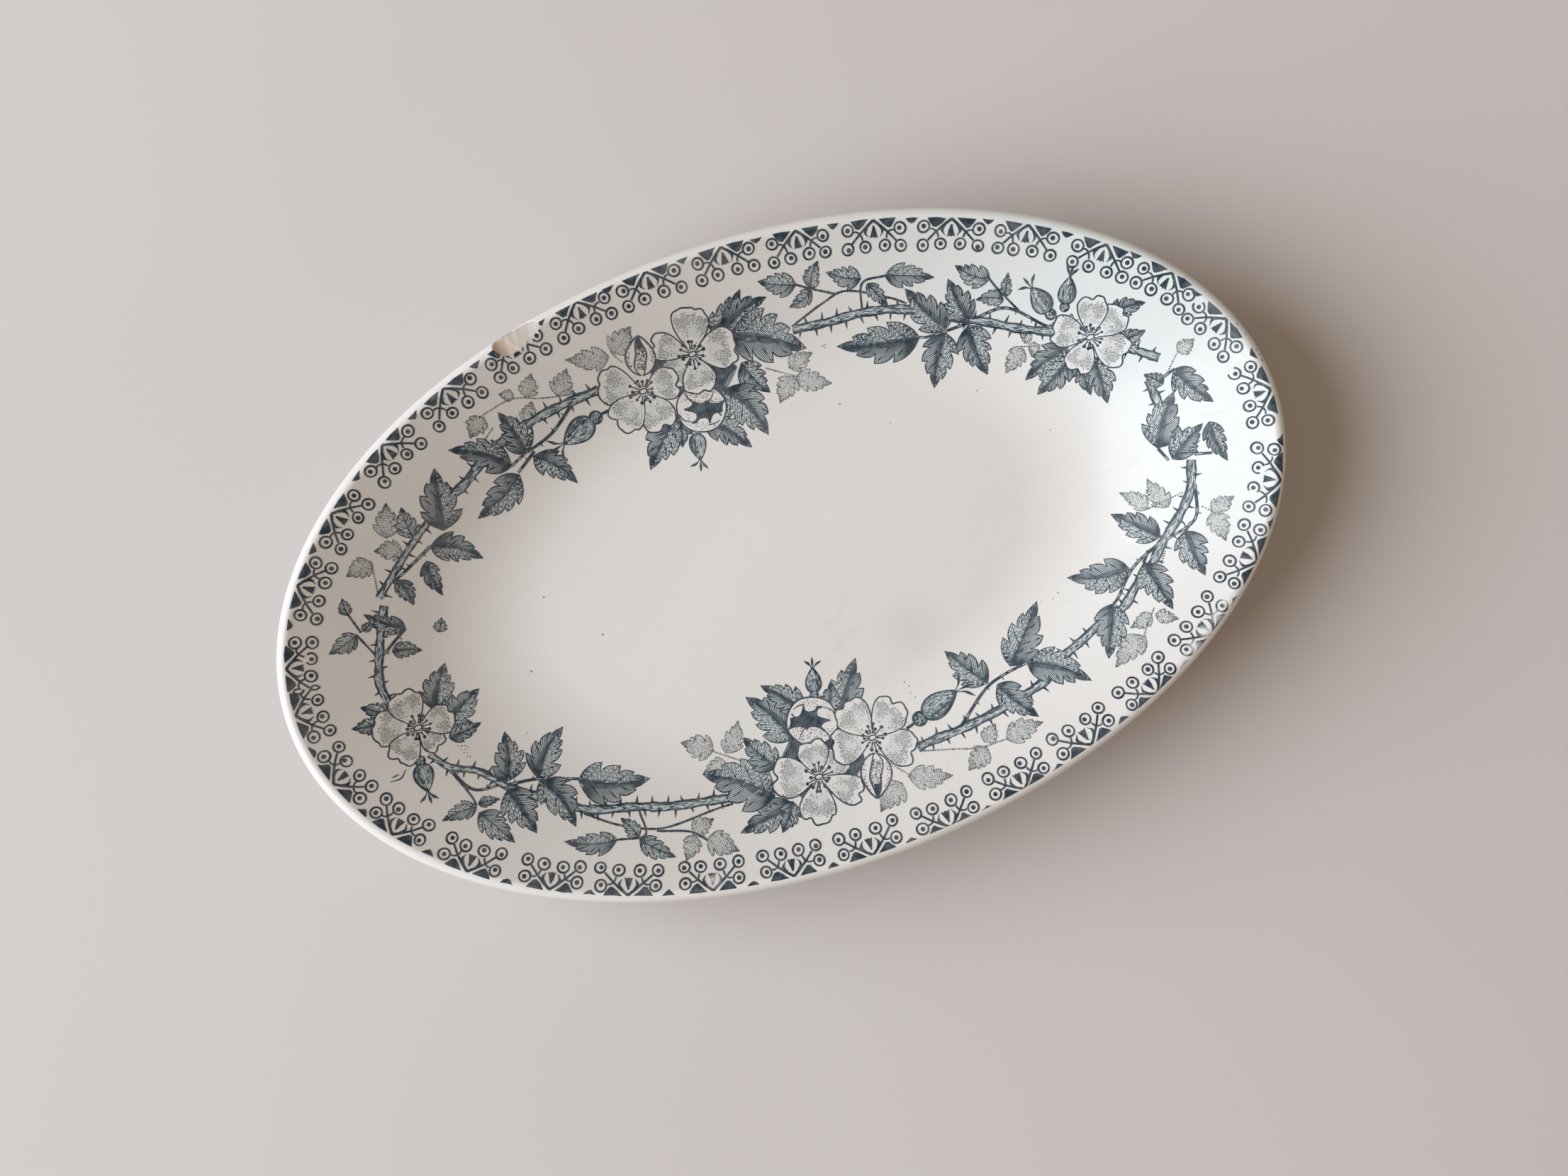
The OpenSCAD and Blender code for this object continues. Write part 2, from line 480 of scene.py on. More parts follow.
def foot_finish():
    finish, tree, shade, where = new_finish("foot ring, wiped edge")
    ragged = add(tree, "ShaderNodeMath", {
        0: noise(tree, where, WIPE_SCALE, 3), 1: WIPE_RAGGED, 2: height_of(tree, where)},
        operation="MULTIPLY_ADD")
    glazed = spread(tree, ragged, WIPED_TO, GLAZED_FROM)
    soiled = spread(tree, noise(tree, where, SOIL_SCALE, 4), 0.4, 0.7)
    clay = mixed(tree, soiled, CLAY_TAN, CLAY_SOIL)
    colour = mixed(tree, glazed, clay, glaze_colour(tree, where))
    dress(tree, shade, colour, spread(tree, glazed, 0, 1, 0.85, 0.17))
    set_bump(tree, shade, noise(tree, where, GRAIN_SCALE, 3), 0.3, 0.08)
    return finish

# %% Foot ring
FOOT_OUTER = np.array([56.59, 34.08])
FOOT_INNER = np.array([52.19, 29.68])
FOOT_TOP = 3.5
FOOT_SECTION = [
    (-0.22, FOOT_TOP), (-0.08, 3.1), (0.0, 2.5), (0.0, 1.1), (0.03, 0.55), (0.11, 0.18), (0.25, 0.0),
    (0.75, 0.0), (0.89, 0.18), (0.97, 0.55), (1.0, 1.1), (1.0, 2.5), (1.08, 3.1), (1.22, FOOT_TOP)]
ring_points, ring_faces = [], []
for row, (share, z) in enumerate(FOOT_SECTION):
    half = FOOT_INNER + share * (FOOT_OUTER - FOOT_INNER)
    ring_points.append(np.stack([half[0] * COS, half[1] * SIN, np.full(len(turns), z)], -1))
    next_row = (row + 1) % len(FOOT_SECTION)
    ring_faces += [f[::-1] for f in band(row * len(turns), next_row * len(turns), len(turns))]
ring_points = np.concatenate(ring_points)
make_piece("standing_ring", ring_points, ring_faces, foot_finish(), "biscuit", ["foot_ring"])

# %% [markdown]
# ## Ink
# The print is engraved line work: outlines, hatching and dots of one dark slate blue. The lines
# could be painted into an image, but here each one is a thin closed film that follows the glaze, so
# it stays crisp close up. The films are drawn flat, as a plan of the dish, and lifted at the end.
# The tissue that carried the print was laid a little askew, and so is the plan.

# %% How the tissue was laid
LAID_TURN, LAID_SHIFT = math.radians(-0.45), np.array([0.5, -0.33])
LAST_REACH = 119.45
TURNED = np.array([[math.cos(LAID_TURN), math.sin(LAID_TURN)],
                   [-math.sin(LAID_TURN), math.cos(LAID_TURN)]])


def laid(drawn):
    """Places on the dish of what is drawn in the plan; the print stops short of the lip's edge."""
    places = drawn @ TURNED + LAID_SHIFT
    reach = outward(places[:, 0], places[:, 1])[0]
    return places * np.minimum(1, LAST_REACH / reach)[:, None]


def drawn_from(places):
    return (places - LAID_SHIFT) @ TURNED.T


print("tissue lies", round(math.degrees(LAID_TURN), 2), "degrees askew, moved by", LAID_SHIFT, "mm")

# %% Inked films
FILM_BURIED = -0.06
PLAN_SIZE = np.array([244.0, 152.0])
HAIRLINE = 0.03
LEVEL_RANGE, LEVEL_STEP = 0.004, 0.618


def ray(a):
    """Direction of an angle, or of each of many."""
    return np.stack([np.cos(a), np.sin(a)], -1)


class Film:
    """Flat ink shapes that become one thin closed piece on the glaze."""

    def __init__(self, height):
        self.height, self.points, self.levels, self.faces, self.count = height, [], [], [], 0

    def patch(self, points, faces):
        """Adds a flat shape, at a level of its own so that shapes which cross don't flicker."""
        level = self.height + LEVEL_RANGE * ((len(self.points) * LEVEL_STEP) % 1)
        self.points.append(points)
        self.levels.append(np.full(len(points), level))
        self.faces += [tuple(i + self.count for i in face) for face in faces]
        self.count += len(points)

    def dot(self, middle, radius, sides, turn):
        a = np.arange(sides) * TURN / sides + turn
        self.patch(middle + radius * ray(a), [tuple(range(sides))])

    def stroke(self, path, widths):
        if len(path) < 2:
            return
        run = np.gradient(path, axis=0)
        run /= np.maximum(np.linalg.norm(run, axis=1), TINY)[:, None]
        half = np.maximum(widths, HAIRLINE)[:, None] / 2
        side = np.stack([-run[:, 1], run[:, 0]], -1) * half
        points = np.empty((2 * len(path), 2))
        points[0::2], points[1::2] = path + side, path - side
        self.patch(points, [(2 * i + 1, 2 * i + 3, 2 * i + 2, 2 * i) for i in range(len(path) - 1)])

    def build(self, name, finish):
        """Lifts the flat shapes onto the glaze and closes them below and along their borders."""
        plan, level = laid(np.concatenate(self.points)), np.concatenate(self.levels)
        count = len(plan)
        total = sum(map(len, self.faces))
        start = np.fromiter((i for f in self.faces for i in f), np.int64, total)
        end = np.fromiter((i for f in self.faces for i in (*f[1:], f[0])), np.int64, total)
        open_edge = ~np.isin(start * count + end, end * count + start)
        sides = np.stack([start, start + count, end + count, end], -1)[open_edge]
        faces = self.faces + [tuple(i + count for i in f[::-1]) for f in self.faces]
        faces += list(map(tuple, sides.tolist()))
        top = lift(plan[:, 0], plan[:, 1], level)
        bottom = lift(plan[:, 0], plan[:, 1], np.full(count, FILM_BURIED))
        points = np.concatenate([top, bottom])
        piece = make_piece(name, points, faces, finish, "glaze", smooth=False)
        corner = np.empty(len(piece.data.loops), np.int64)
        piece.data.loops.foreach_get("vertex_index", corner)
        flat = plan[corner % count] / PLAN_SIZE + 0.5
        piece.data.uv_layers.new(name="OFBake").data.foreach_set("uv", flat.ravel())


print("films reach", -FILM_BURIED, "mm into the glaze")

# %% Tests and curves in the plan
KNOT_STEPS = 12


def inside(points, outline):
    """Which points lie inside a closed outline."""
    x, y = points[:, 0:1], points[:, 1:2]
    x0, y0 = outline[:, 0], outline[:, 1]
    x1, y1 = np.roll(x0, -1), np.roll(y0, -1)
    spans = (y0 > y) != (y1 > y)
    cross = x0 + (y - y0) * (x1 - x0) / np.where(y1 == y0, TINY, y1 - y0)
    return (spans & (x < cross)).sum(1) % 2 == 1


def clear_of(points, covers):
    """Which points lie outside all the outlines in front of them."""
    keep = np.ones(len(points), bool)
    for cover in covers:
        keep &= ~inside(points, cover)
    return keep


def resampled(path, step):
    """The path in even steps, and the share of its length at each of them."""
    path = np.asarray(path, float)
    gaps = np.linalg.norm(np.diff(path, axis=0), axis=1)
    along = np.concatenate([[0], np.cumsum(gaps)])
    places = np.linspace(0, along[-1], max(2, int(along[-1] / step) + 1))
    even_path = np.stack([np.interp(places, along, path[:, k]) for k in (0, 1)], -1)
    return even_path, places / max(along[-1], TINY)


def smooth_path(knots, step=0.6):
    """Smooth curve through a few knots."""
    knots = np.asarray(knots, float)
    padded = np.vstack([2 * knots[0] - knots[1], knots, 2 * knots[-1] - knots[-2]])
    t = np.linspace(0, 1, KNOT_STEPS, endpoint=False)[:, None]
    pieces = []
    for a, b, c, d in zip(padded, padded[1:], padded[2:], padded[3:]):
        pieces.append(0.5 * (2 * b + (c - a) * t + (2 * a - 5 * b + 4 * c - d) * t**2
                             + (3 * b - a - 3 * c + d) * t**3))
    return resampled(np.vstack([*pieces, knots[-1:]]), step)[0]


print("a curve through three knots has", len(smooth_path([(0, 0), (5, 2), (10, 0)])), "points")

# %% Lines that stop at what lies in front
PLAIN_STEP, CURVE_STEP = 0.5, 0.3
COVER_STEP, COVER_KEEP = 0.15, 3


def draw(film, path, widths, covers=(), step=PLAIN_STEP):
    """Stroke with a width along the path, left out where something lies in front."""
    fine_path, share = resampled(path, COVER_STEP if covers else step)
    widths = np.atleast_1d(np.asarray(widths, float))
    width = np.interp(share, np.linspace(0, 1, len(widths)), widths)
    if not covers:
        film.stroke(fine_path, width)
        return
    keep = clear_of(fine_path, covers)
    breaks = np.flatnonzero(np.diff(keep.astype(int))) + 1
    for run in np.split(np.arange(len(keep)), breaks):
        if keep[run[0]] and len(run) > 2:
            run = np.unique(np.append(run[::COVER_KEEP], run[-1]))
            film.stroke(fine_path[run], width[run])


def corners_apart(path, limit=50):
    """Splits a path at its sharp corners."""
    path = np.asarray(path, float)
    run = np.diff(path, axis=0)
    bend = np.abs((np.diff(np.degrees(np.arctan2(run[:, 1], run[:, 0]))) + 180) % 360 - 180)
    cuts = [0, *(np.flatnonzero(bend > limit) + 1), len(path) - 1]
    return [path[a:b + 1] for a, b in zip(cuts, cuts[1:]) if b > a]


print("a path with two corners has", len(corners_apart([(0, 0), (1, 0), (1, 1), (0, 1)])), "parts")

# %% Tone that stops at what lies in front
MERGED, SLIVER = 1e-5, 1e-7


def fill(film, outline, covers=(), cell=1.5):
    """Flat tone inside an outline, left out where something lies in front."""
    outline = np.asarray(outline, float)
    low, high = outline.min(0), outline.max(0)
    gx, gy = np.meshgrid(np.arange(low[0], high[0], cell), np.arange(low[1], high[1], cell))
    grid = np.stack([gx.ravel(), gy.ravel()], -1)
    grid = grid[inside(grid, outline)] if len(grid) else grid
    loops = [outline, *covers]
    points = np.concatenate([*loops, grid])
    edges, at = [], 0
    for loop in loops:
        edges += [(at + i, at + (i + 1) % len(loop)) for i in range(len(loop))]
        at += len(loop)
    flat = [Vector(p) for p in points.tolist()]
    verts, _, faces, *_ = delaunay_2d_cdt(flat, edges, [], 0, MERGED)
    verts = np.array([v[:] for v in verts])
    faces = np.array(faces)
    middle = verts[faces].mean(1)
    faces = faces[inside(middle, outline) & clear_of(middle, covers)]
    a, b, c = (verts[faces[:, k]] for k in range(3))
    area = (b[:, 0] - a[:, 0]) * (c[:, 1] - a[:, 1]) - (b[:, 1] - a[:, 1]) * (c[:, 0] - a[:, 0])
    faces = np.where(area[:, None] < 0, faces[:, ::-1], faces)[np.abs(area) > SLIVER]
    if len(faces):
        used, back = np.unique(faces, return_inverse=True)
        film.patch(verts[used], [tuple(f) for f in back.reshape(faces.shape).tolist()])


test_film = Film(0.0)
fill(test_film, [(0, 0), (6, 0), (6, 6), (0, 6)])
print("tone in a small square has", len(test_film.faces), "faces")

# %% [markdown]
# ## Inks
# The print is one slate blue, but lines and dots that are too fine to see apart look like a paler
# grey, and the faint sprigs were engraved thinner. The finest texture could be drawn dot by dot, at
# the cost of millions of faces, so it is a flat tone with a paler ink under the drawn lines. Each
# ink is blotchy, and rubbed away where the tissue was pressed badly.

# %% Ink finishes
INK_SLATE = (0.024, 0.041, 0.058)
INK_WASH = (0.545, 0.585, 0.585)
INK_SHADE = (0.158, 0.198, 0.222)
INK_MIST = (0.585, 0.580, 0.555)
INK_PETAL = (0.605, 0.608, 0.580)
INK_FAINT = (0.060, 0.080, 0.088)
INK_SHINE = 0.12
BLOTCH_SCALE, CLOUDING_SCALE, RUB_SCALE = 520, 45, 500
WORN_INNER, WORN_OUTER = 0.5, 2.1
WORN_PLACES = [(79.0, -52.9), (82.6, -50.7), (86.2, -48.3), (89.8, -45.7), (93.2, -43.0),
               (-39.0, -65.6)]


def ink_finish(name, colour, thin):
    finish, tree, shade, where = new_finish(name)
    blotch = spread(tree, noise(tree, where, BLOTCH_SCALE, 4, 0.65), 0.42, 0.74, 0.0, thin)
    broad = spread(tree, noise(tree, where, CLOUDING_SCALE, 2), 0.45, 0.75, 0.0, 0.5 * thin)
    ink = mixed(tree, broad, mixed(tree, blotch, colour, GLAZE_WHITE), GLAZE_WARM)
    rub = spread(tree, noise(tree, where, RUB_SCALE, 3, 0.7), 0.34, 0.60, 0.2, 0.85)
    for x, y in WORN_PLACES:
        worn = near(tree, where, (x, y, lift(x, y, 0.0)[2]), WORN_INNER, WORN_OUTER)
        ink = mixed(tree, product(tree, worn, rub), ink, GLAZE_WHITE)
    dress(tree, shade, ink, gloss(tree, where))
    shade.inputs["Specular IOR Level"].default_value = INK_SHINE
    return finish


slate_ink = ink_finish("slate ink", INK_SLATE, 0.16)
wash_ink = ink_finish("fine stipple tone", INK_WASH, 0.25)
shade_ink = ink_finish("close hatching tone", INK_SHADE, 0.20)
faint_ink = ink_finish("faint stipple", INK_FAINT, 0.30)
mist_ink = ink_finish("faint tone", INK_MIST, 0.30)
petal_ink = ink_finish("petal tone", INK_PETAL, 0.45)

# %% [markdown]
# ## The border
# A strip of one small repeat runs round the rim: a chevron whose arms end in berries, with flat
# triangles along the edge. One repeat could be copied round with an array and a curve modifier, but
# then all would be alike. Here a place is given by how far along the strip it is and how far in
# from the edge, and every repeat is drawn anew: the tissue stretched as it was pressed on, a few
# rings toward one end of the dish are torn open, and the strip's two ends meet in a clumsy join
# that cuts a repeat short.

# %% A strip bent round the oval
STRIP_OUT, STRIP_MIDDLE, STRIP_IN = -4, 4.0, 12


class Strip:
    """Plan of a strip that is bent round an ellipse; along it and inward are millimetres."""

    def __init__(self, half_length, half_width, centre):
        self.half, self.centre = np.array([half_length, half_width]), np.array(centre)
        self.turn = np.linspace(0, TURN, 7201)
        gaps = np.linalg.norm(np.diff(ray(self.turn) * self.half, axis=0), axis=1)
        self.along = np.concatenate([[0], np.cumsum(gaps)])
        self.length = self.along[-1]

    def frame(self, along):
        """Point on the edge, the way along it and the way into the dish."""
        turn = np.interp(np.mod(along, self.length), self.along, self.turn)
        run = np.stack([-np.sin(turn), np.cos(turn)], -1) * self.half
        run /= np.linalg.norm(run, axis=-1)[..., None]
        return ray(turn) * self.half + self.centre, run, np.stack([-run[..., 1], run[..., 0]], -1)

    def place(self, along, inward):
        point, _, into = self.frame(np.asarray(along, float))
        return point + np.asarray(inward, float)[..., None] * into

    def stretch_of(self, start, stop):
        """Outline of the strip from one place to another, to hide what lies there."""
        along = np.linspace(start, stop, 9)
        return np.vstack([self.place(along, np.full(9, STRIP_OUT)),
                          self.place(along[::-1], np.full(9, STRIP_IN))])


border = Strip(118.3, 71.75, (0.35, 0.25))
print("border is", round(border.length, 1), "mm long")

# %% Where the chip has taken the print away
CHIP_INKED, CHIP_BARE, COVER_HALF = 0.86, 0.12, 8.5
t = np.linspace(-CHIP_HALF * CHIP_INKED, CHIP_HALF * CHIP_INKED, 24)
chip_line = chip_foot + t[:, None] * chip_along + (chip_inner_edge(t) - CHIP_BARE)[:, None] * chip_out
chip_cover = drawn_from(np.vstack([
    chip_line, chip_foot + COVER_HALF * chip_along + CHIP_BEYOND * chip_out,
    chip_foot - COVER_HALF * chip_along + CHIP_BEYOND * chip_out]))
print("chip hides", len(chip_cover), "points of outline")

# %% A berry of the border
RING_OUTER, RING_LINE, BERRY_SEED = 1.48, 0.41, 0.50
RING_POINTS, TORN_POINTS, SEED_SIDES = 37, 28, 14
edge_film, chevron_film, berry_film = Film(0.08), Film(0.09), Film(0.07)


def berry(along, inward, whole, rng, covers):
    """Uneven ring with a round seed."""
    point, run, into = border.frame(along)
    squeeze = 1 - 0.05 * abs(float(run[0]))
    middle = point + inward * into
    a = np.linspace(0, TURN, RING_POINTS) + rng.uniform(0, TURN)
    a = a if whole else a[:TORN_POINTS]
    size = RING_OUTER * rng.uniform(0.96, 1.04) * (1 + 0.03 * np.sin(2 * a + rng.uniform(0, 6)))
    circle = np.cos(a)[:, None] * run + squeeze * np.sin(a)[:, None] * into
    line = RING_LINE * (1 + 0.16 * np.sin(a + rng.uniform(0, 6)))
    draw(berry_film, middle + (size - RING_LINE / 2)[:, None] * circle, line, covers, CURVE_STEP)
    seed_at = middle + rng.normal(0, 0.10, 2)
    if clear_of(seed_at[None], covers)[0]:
        berry_film.dot(seed_at, BERRY_SEED * rng.uniform(0.92, 1.08), SEED_SIDES, rng.uniform(0, 1))


print("a berry is", 2 * RING_OUTER, "mm wide")

# %% Shapes of one repeat, along and into the strip
PITCH = 18.55
FORK = (3.45, 2.85)
BERRIES = [(6.45, 2.15), (6.6, 5.75), (2.4, 5.5)]
STEM_BOWS = [(0.15, -0.3), (0, 0), (-0.15, 0.1)]
STEM_WIDTHS = [0.32, 0.42, 0.37]
FORK_WIDTH, STEM_GAP = 0.42, 0.08
ARM, ARM_PEN = [(0, 0.2), (1.7, 1.45), FORK], [0.62, 0.50, 0.42]
SEPAL = [(0.85, 0.95), (1.6, 1.5), (2.5, 2.1), (2.35, 2.85), (1.45, 3.8), (1.85, 2.9), (1.75, 2.25),
         (1.3, 1.6)]
TRIANGLE = [(1.3, 0), (3.3, -0.05), (5.6, 0), (5.15, 0.8), (4.3, 1.85), (3.55, 2.0), (2.4, 1.05)]
BUD = [(-0.15, 1.4), (0.15, 1.4), (0.5, 2.5), (0.95, 3.95), (0.3, 3.75), (0, 4.0), (-0.3, 3.75),
       (-0.95, 3.95), (-0.5, 2.5)]
SMALL_TRIANGLE = [(-1.45, 0), (0, -0.02), (1.45, 0), (0.78, 0.75), (0.1, 1.2), (-0.68, 0.75)]
SMALL_CELL, STRIP_STEP = 0.42, 0.4
CHEVRON_WOBBLE, EDGE_WOBBLE = 0.05, 0.07
print("a repeat has", 2 * len(BERRIES), "berries and is", PITCH, "mm long")

# %% One repeat of the border
def strip_path(at, knots):
    knots = np.array(knots) + at
    return border.place(knots[:, 0], knots[:, 1])


def edge_shape(film, at, knots, rng, covers, wobble):
    """Solid shape of the border; its cells are small, as it may lie on the curve of the lip."""
    knots = np.array(knots) + rng.normal(0, wobble, (len(knots), 2))
    fill(film, strip_path(at, knots), covers, SMALL_CELL)


def stalk(end, bow):
    """Knots of a bowed stalk from the fork to the ring round a berry."""
    s, d = end[0] - FORK[0], end[1] - FORK[1]
    reach = 1 - (RING_OUTER + STEM_GAP) / math.hypot(s, d)
    end = (FORK[0] + reach * s, FORK[1] + reach * d)
    return [FORK, (0.5 * (FORK[0] + end[0]) + bow[0], 0.5 * (FORK[1] + end[1]) + bow[1]), end]


def repeat_of_border(at, rng, stretch, torn, covers):
    """Chevron, berries, bud and triangles; the chevron's tip is at a place along and into the strip."""
    for hand in (1, -1):
        def side(points):
            return [(hand * stretch * s, d) for s, d in points]
        draw(chevron_film, strip_path(at, side(ARM)), ARM_PEN, covers, STRIP_STEP)
        for (s, d), bow, width in zip(BERRIES, STEM_BOWS, STEM_WIDTHS):
            s, d = s + rng.normal(0, 0.14), d + rng.normal(0, 0.12)
            path = strip_path(at, side(stalk((s, d), bow)))
            draw(chevron_film, path, [FORK_WIDTH, width, width], covers, STRIP_STEP)
            berry(at[0] + hand * stretch * s, at[1] + d, rng.random() > torn, rng, covers)
        edge_shape(chevron_film, at, side(SEPAL), rng, covers, CHEVRON_WOBBLE)
        edge_shape(edge_film, at, side(TRIANGLE), rng, covers, EDGE_WOBBLE)
    edge_shape(chevron_film, at, BUD, rng, covers, CHEVRON_WOBBLE)
    edge_shape(edge_film, at + np.array([PITCH / 2, 0]), SMALL_TRIANGLE, rng, covers, EDGE_WOBBLE)


first_end = stalk(BERRIES[0], STEM_BOWS[0])[-1]
print("the first stalk ends", round(first_end[0], 2), "mm along and", round(first_end[1], 2), "mm in")

# %% Lay the border round the rim
REPEATS = 33
JOIN, LAP, LAP_LENGTH = 302.5, 6.0, 12
BORDER_SEED = 500
CHIP_NEAR = 24
TORN_BEYOND, OFTEN_TORN, SELDOM_TORN = 104, 0.25, 0.01
PULL, PULLED_AT, PULLED_OVER = 0.16, 15, 1.5
CREEP = [-0.3, -0.7, -1.5, -0.9, -0.2, -0.7, 0.3, 0.6, 0.8, 1.3, 1.6, 1.5, 2.1, 2.2, 3.2, 4.1, 7.0,
         8.0, 6.0, 4.0, 4.0, 3.2, 2.8, 2.3, 1.3, 1.0, -0.2, -0.9, -1.0, -0.5, 0.6, 0.3, 1.2]
SINK = [0, -0.1, -0.2, -0.7, -0.5, -0.5, -0.4, -0.2, -0.2, -0.5, -0.1, 0.3, -0.1, -0.2, 0, 0.2, 0.6,
        0.8, 0.3, 0.6, 0.5, 0.6, 0.4, 0.3, 0, -0.2, -0.4, -0.2, -0.1, -0.2, 0, -0.1, -0.2]
for number in range(REPEATS):
    rng = np.random.default_rng(BORDER_SEED + number)
    at = np.array([JOIN + number * PITCH + CREEP[number], SINK[number]])
    middle = border.place(at[0], STRIP_MIDDLE)
    covers = [chip_cover] if np.linalg.norm(middle - chip_foot) < CHIP_NEAR else []
    if number == 0:
        covers.append(border.stretch_of(JOIN - LAP - LAP_LENGTH, JOIN - LAP))
    if number == REPEATS - 1:
        covers.append(border.stretch_of(JOIN - LAP, JOIN - LAP + LAP_LENGTH))
    pulled = 1 + PULL * math.exp(-((number - PULLED_AT) / PULLED_OVER) ** 2)
    torn = OFTEN_TORN if middle[0] > TORN_BEYOND else SELDOM_TORN
    repeat_of_border(at, rng, pulled * rng.uniform(0.95, 1.02), torn, covers)
edge_film.build("border_triangles", slate_ink)
chevron_film.build("border_chevrons", slate_ink)
berry_film.build("border_berries", slate_ink)

# %% [markdown]
# ## The garland
# A thorny briar winds round the side, with open blossoms, buds and toothed leaves. The motifs could
# be traced one by one, but each below is a small drawing made from a few numbers, as an engraver
# draws the same leaf many times and never quite alike. A motif keeps its outline and its place
# from back to front, so that the motifs behind it can stop there.

# %% Films of the garland
leaf_tone, leaf_shade = Film(0.030), Film(0.038)
leaf_lines, leaf_hatch = Film(0.056), Film(0.048)
cane_lights, cane_lines = Film(0.062), Film(0.056)
petal_lines, petal_dots, petal_tone = Film(0.056), Film(0.050), Film(0.030)
bud_lines, faint_dots, faint_tone = Film(0.056), Film(0.046), Film(0.030)
LAYERS = {"sprig": 0.0, "sprig stalk": 0.1, "vine": 1.0, "vine leaf": 1.5, "cane": 2.0, "stem": 2.5,
          "curl": 2.6, "gap": 2.9, "leaf": 3.0, "bud": 5.0, "cup": 5.5, "blossom": 6.0, "fold": 7.0}
motifs = []


def motif(order, outlines, ink, covers_others=True):
    """Remembers a drawing: its place from back to front, its outlines and how it is inked."""
    boxes = [(o.min(0), o.max(0)) for o in outlines]
    motifs.append((order, outlines, boxes, ink, covers_others))


def ink_all():
    """Inks each motif, and tells it the outlines that lie in front of it."""
    for order, _, boxes, ink, _ in motifs:
        low, high = np.min([b[0] for b in boxes], 0), np.max([b[1] for b in boxes], 0)
        ink([o for other, outs, bxs, _, covering in motifs if other > order and covering
             for o, (lo, hi) in zip(outs, bxs) if (lo < high).all() and (hi > low).all()])


print("layers from back to front:", ", ".join(LAYERS))

# %% Helpers for motifs
def axes(ends):
    """Base, length and the two directions of a motif that runs from its base to its tip."""
    base, tip = np.array(ends[:2], float), np.array(ends[2:], float)
    length = float(np.linalg.norm(tip - base))
    ahead = (tip - base) / length
    return base, length, ahead, np.array([-ahead[1], ahead[0]])


def beside(line, t, sway):
    """Plan points at shares of the length of a motif's line, and millimetres to its left."""
    base, length, ahead, left = line
    return base + (length * t)[..., None] * ahead + sway[..., None] * left


def together(t, v):
    return np.broadcast_arrays(np.asarray(t, float), np.asarray(v, float))


def ring_of(path):
    return np.vstack([path, path[:1]])


def stipple(film, spots, covers, rng, small, large):
    """Round dots at the places that nothing lies in front of."""
    spots = np.asarray(spots, float).reshape(-1, 2)
    for spot in spots[clear_of(spots, covers)]:
        film.dot(spot, rng.uniform(small, large), 5, rng.uniform(0, 1))


print("a motif from (0, 0) to (3, 4) is", axes((0, 0, 3, 4))[1], "mm long")

# %% [markdown]
# ## Leaves
# A briar leaf has a toothed edge, a midrib and side veins that run to the teeth. Engravers build
# its tone from lines: hatching that swells toward the rib on the shaded half, and broken lines on
# the lit half. A textured card would blur close up, so the edge is a formula, and each line is
# laid in the leaf's own places: a share of its length, and a share of its breadth there.

# %% Shape of a toothed leaf
TEETH = (0.36, 0.59, 0.79)
TOOTH_BULGE, POINT_BULGE = 0.13, 0.05
WIDEST = 0.40


def leaf_side(hand, rng):
    """Edge of half a leaf, in places along it and shares of its breadth, and its teeth's tips."""
    edge, tips = [(0.0, 0.0)], []
    t0, v0 = 0.0, 0.84
    for tooth in (*TEETH, 1.0):
        t1 = tooth + rng.uniform(-0.04, 0.04) if tooth < 1 else 1.0
        v1 = rng.uniform(1.08, 1.24)
        for p in (0.2, 0.4, 0.6, 0.8, 1.0):
            bulge = (TOOTH_BULGE if tooth < 1 else POINT_BULGE) * math.sin(math.pi * p ** 0.7)
            edge.append((t0 + (t1 - t0) * p, hand * (v0 + (v1 - v0) * p + bulge)))
        if tooth < 1:
            tips.append((t1, hand * v1))
            t0, v0 = t1 - 0.03, rng.uniform(0.52, 0.66)
            edge.append((t0, hand * v0))
    return np.array(edge), tips


def leaf_form(ends, breadth, rng):
    """Function from leaf places to the plan, the two toothed edges, their tips and the length."""
    line = axes(ends)
    length = line[1]
    bend = rng.uniform(-0.09, 0.09)

    def at(t, v):
        t, v = together(np.clip(t, 0, 1.2), v)
        share = np.maximum(1 - t, 0)
        half = 0.50 * breadth * length * (t / WIDEST) ** 0.72 * (share / (1 - WIDEST)) ** 1.2
        return beside(line, t, bend * length * np.sin(math.pi * t) + v * half)

    (up, up_tips), (down, down_tips) = leaf_side(1, rng), leaf_side(-1, rng)
    return at, at(up[:, 0], up[:, 1]), at(down[:, 0], down[:, 1]), up_tips + down_tips, length


print("a leaf has", 2 * len(TEETH), "teeth and is widest at", WIDEST, "of its length")

# %% Hatching of a leaf
SLANT = 0.26
HATCH_STEP, HATCH_FROM, HATCH_TO, HATCH_DETAIL = 0.51, 0.015, 0.945, 0.8
LONGEST_LINE, DASH_STEP = 12, 0.12


def hatch_lines(at, outline, hand, length):
    """Slanting lines over half a leaf, from the midrib to the toothed edge."""
    v = np.linspace(0.02, 1.16, 16)
    lines = []
    for t in np.arange(-SLANT, 0.95, HATCH_STEP / length):
        along = t + SLANT * v
        line = at(np.maximum(along, 0), hand * v)
        within = np.flatnonzero(inside(line, outline) & (along > HATCH_FROM) & (along < HATCH_TO))
        if len(within) > 2:
            run = np.split(within, np.flatnonzero(np.diff(within) > 1) + 1)[0]
            if len(run) > 2:
                lines.append(line[run])
    return lines


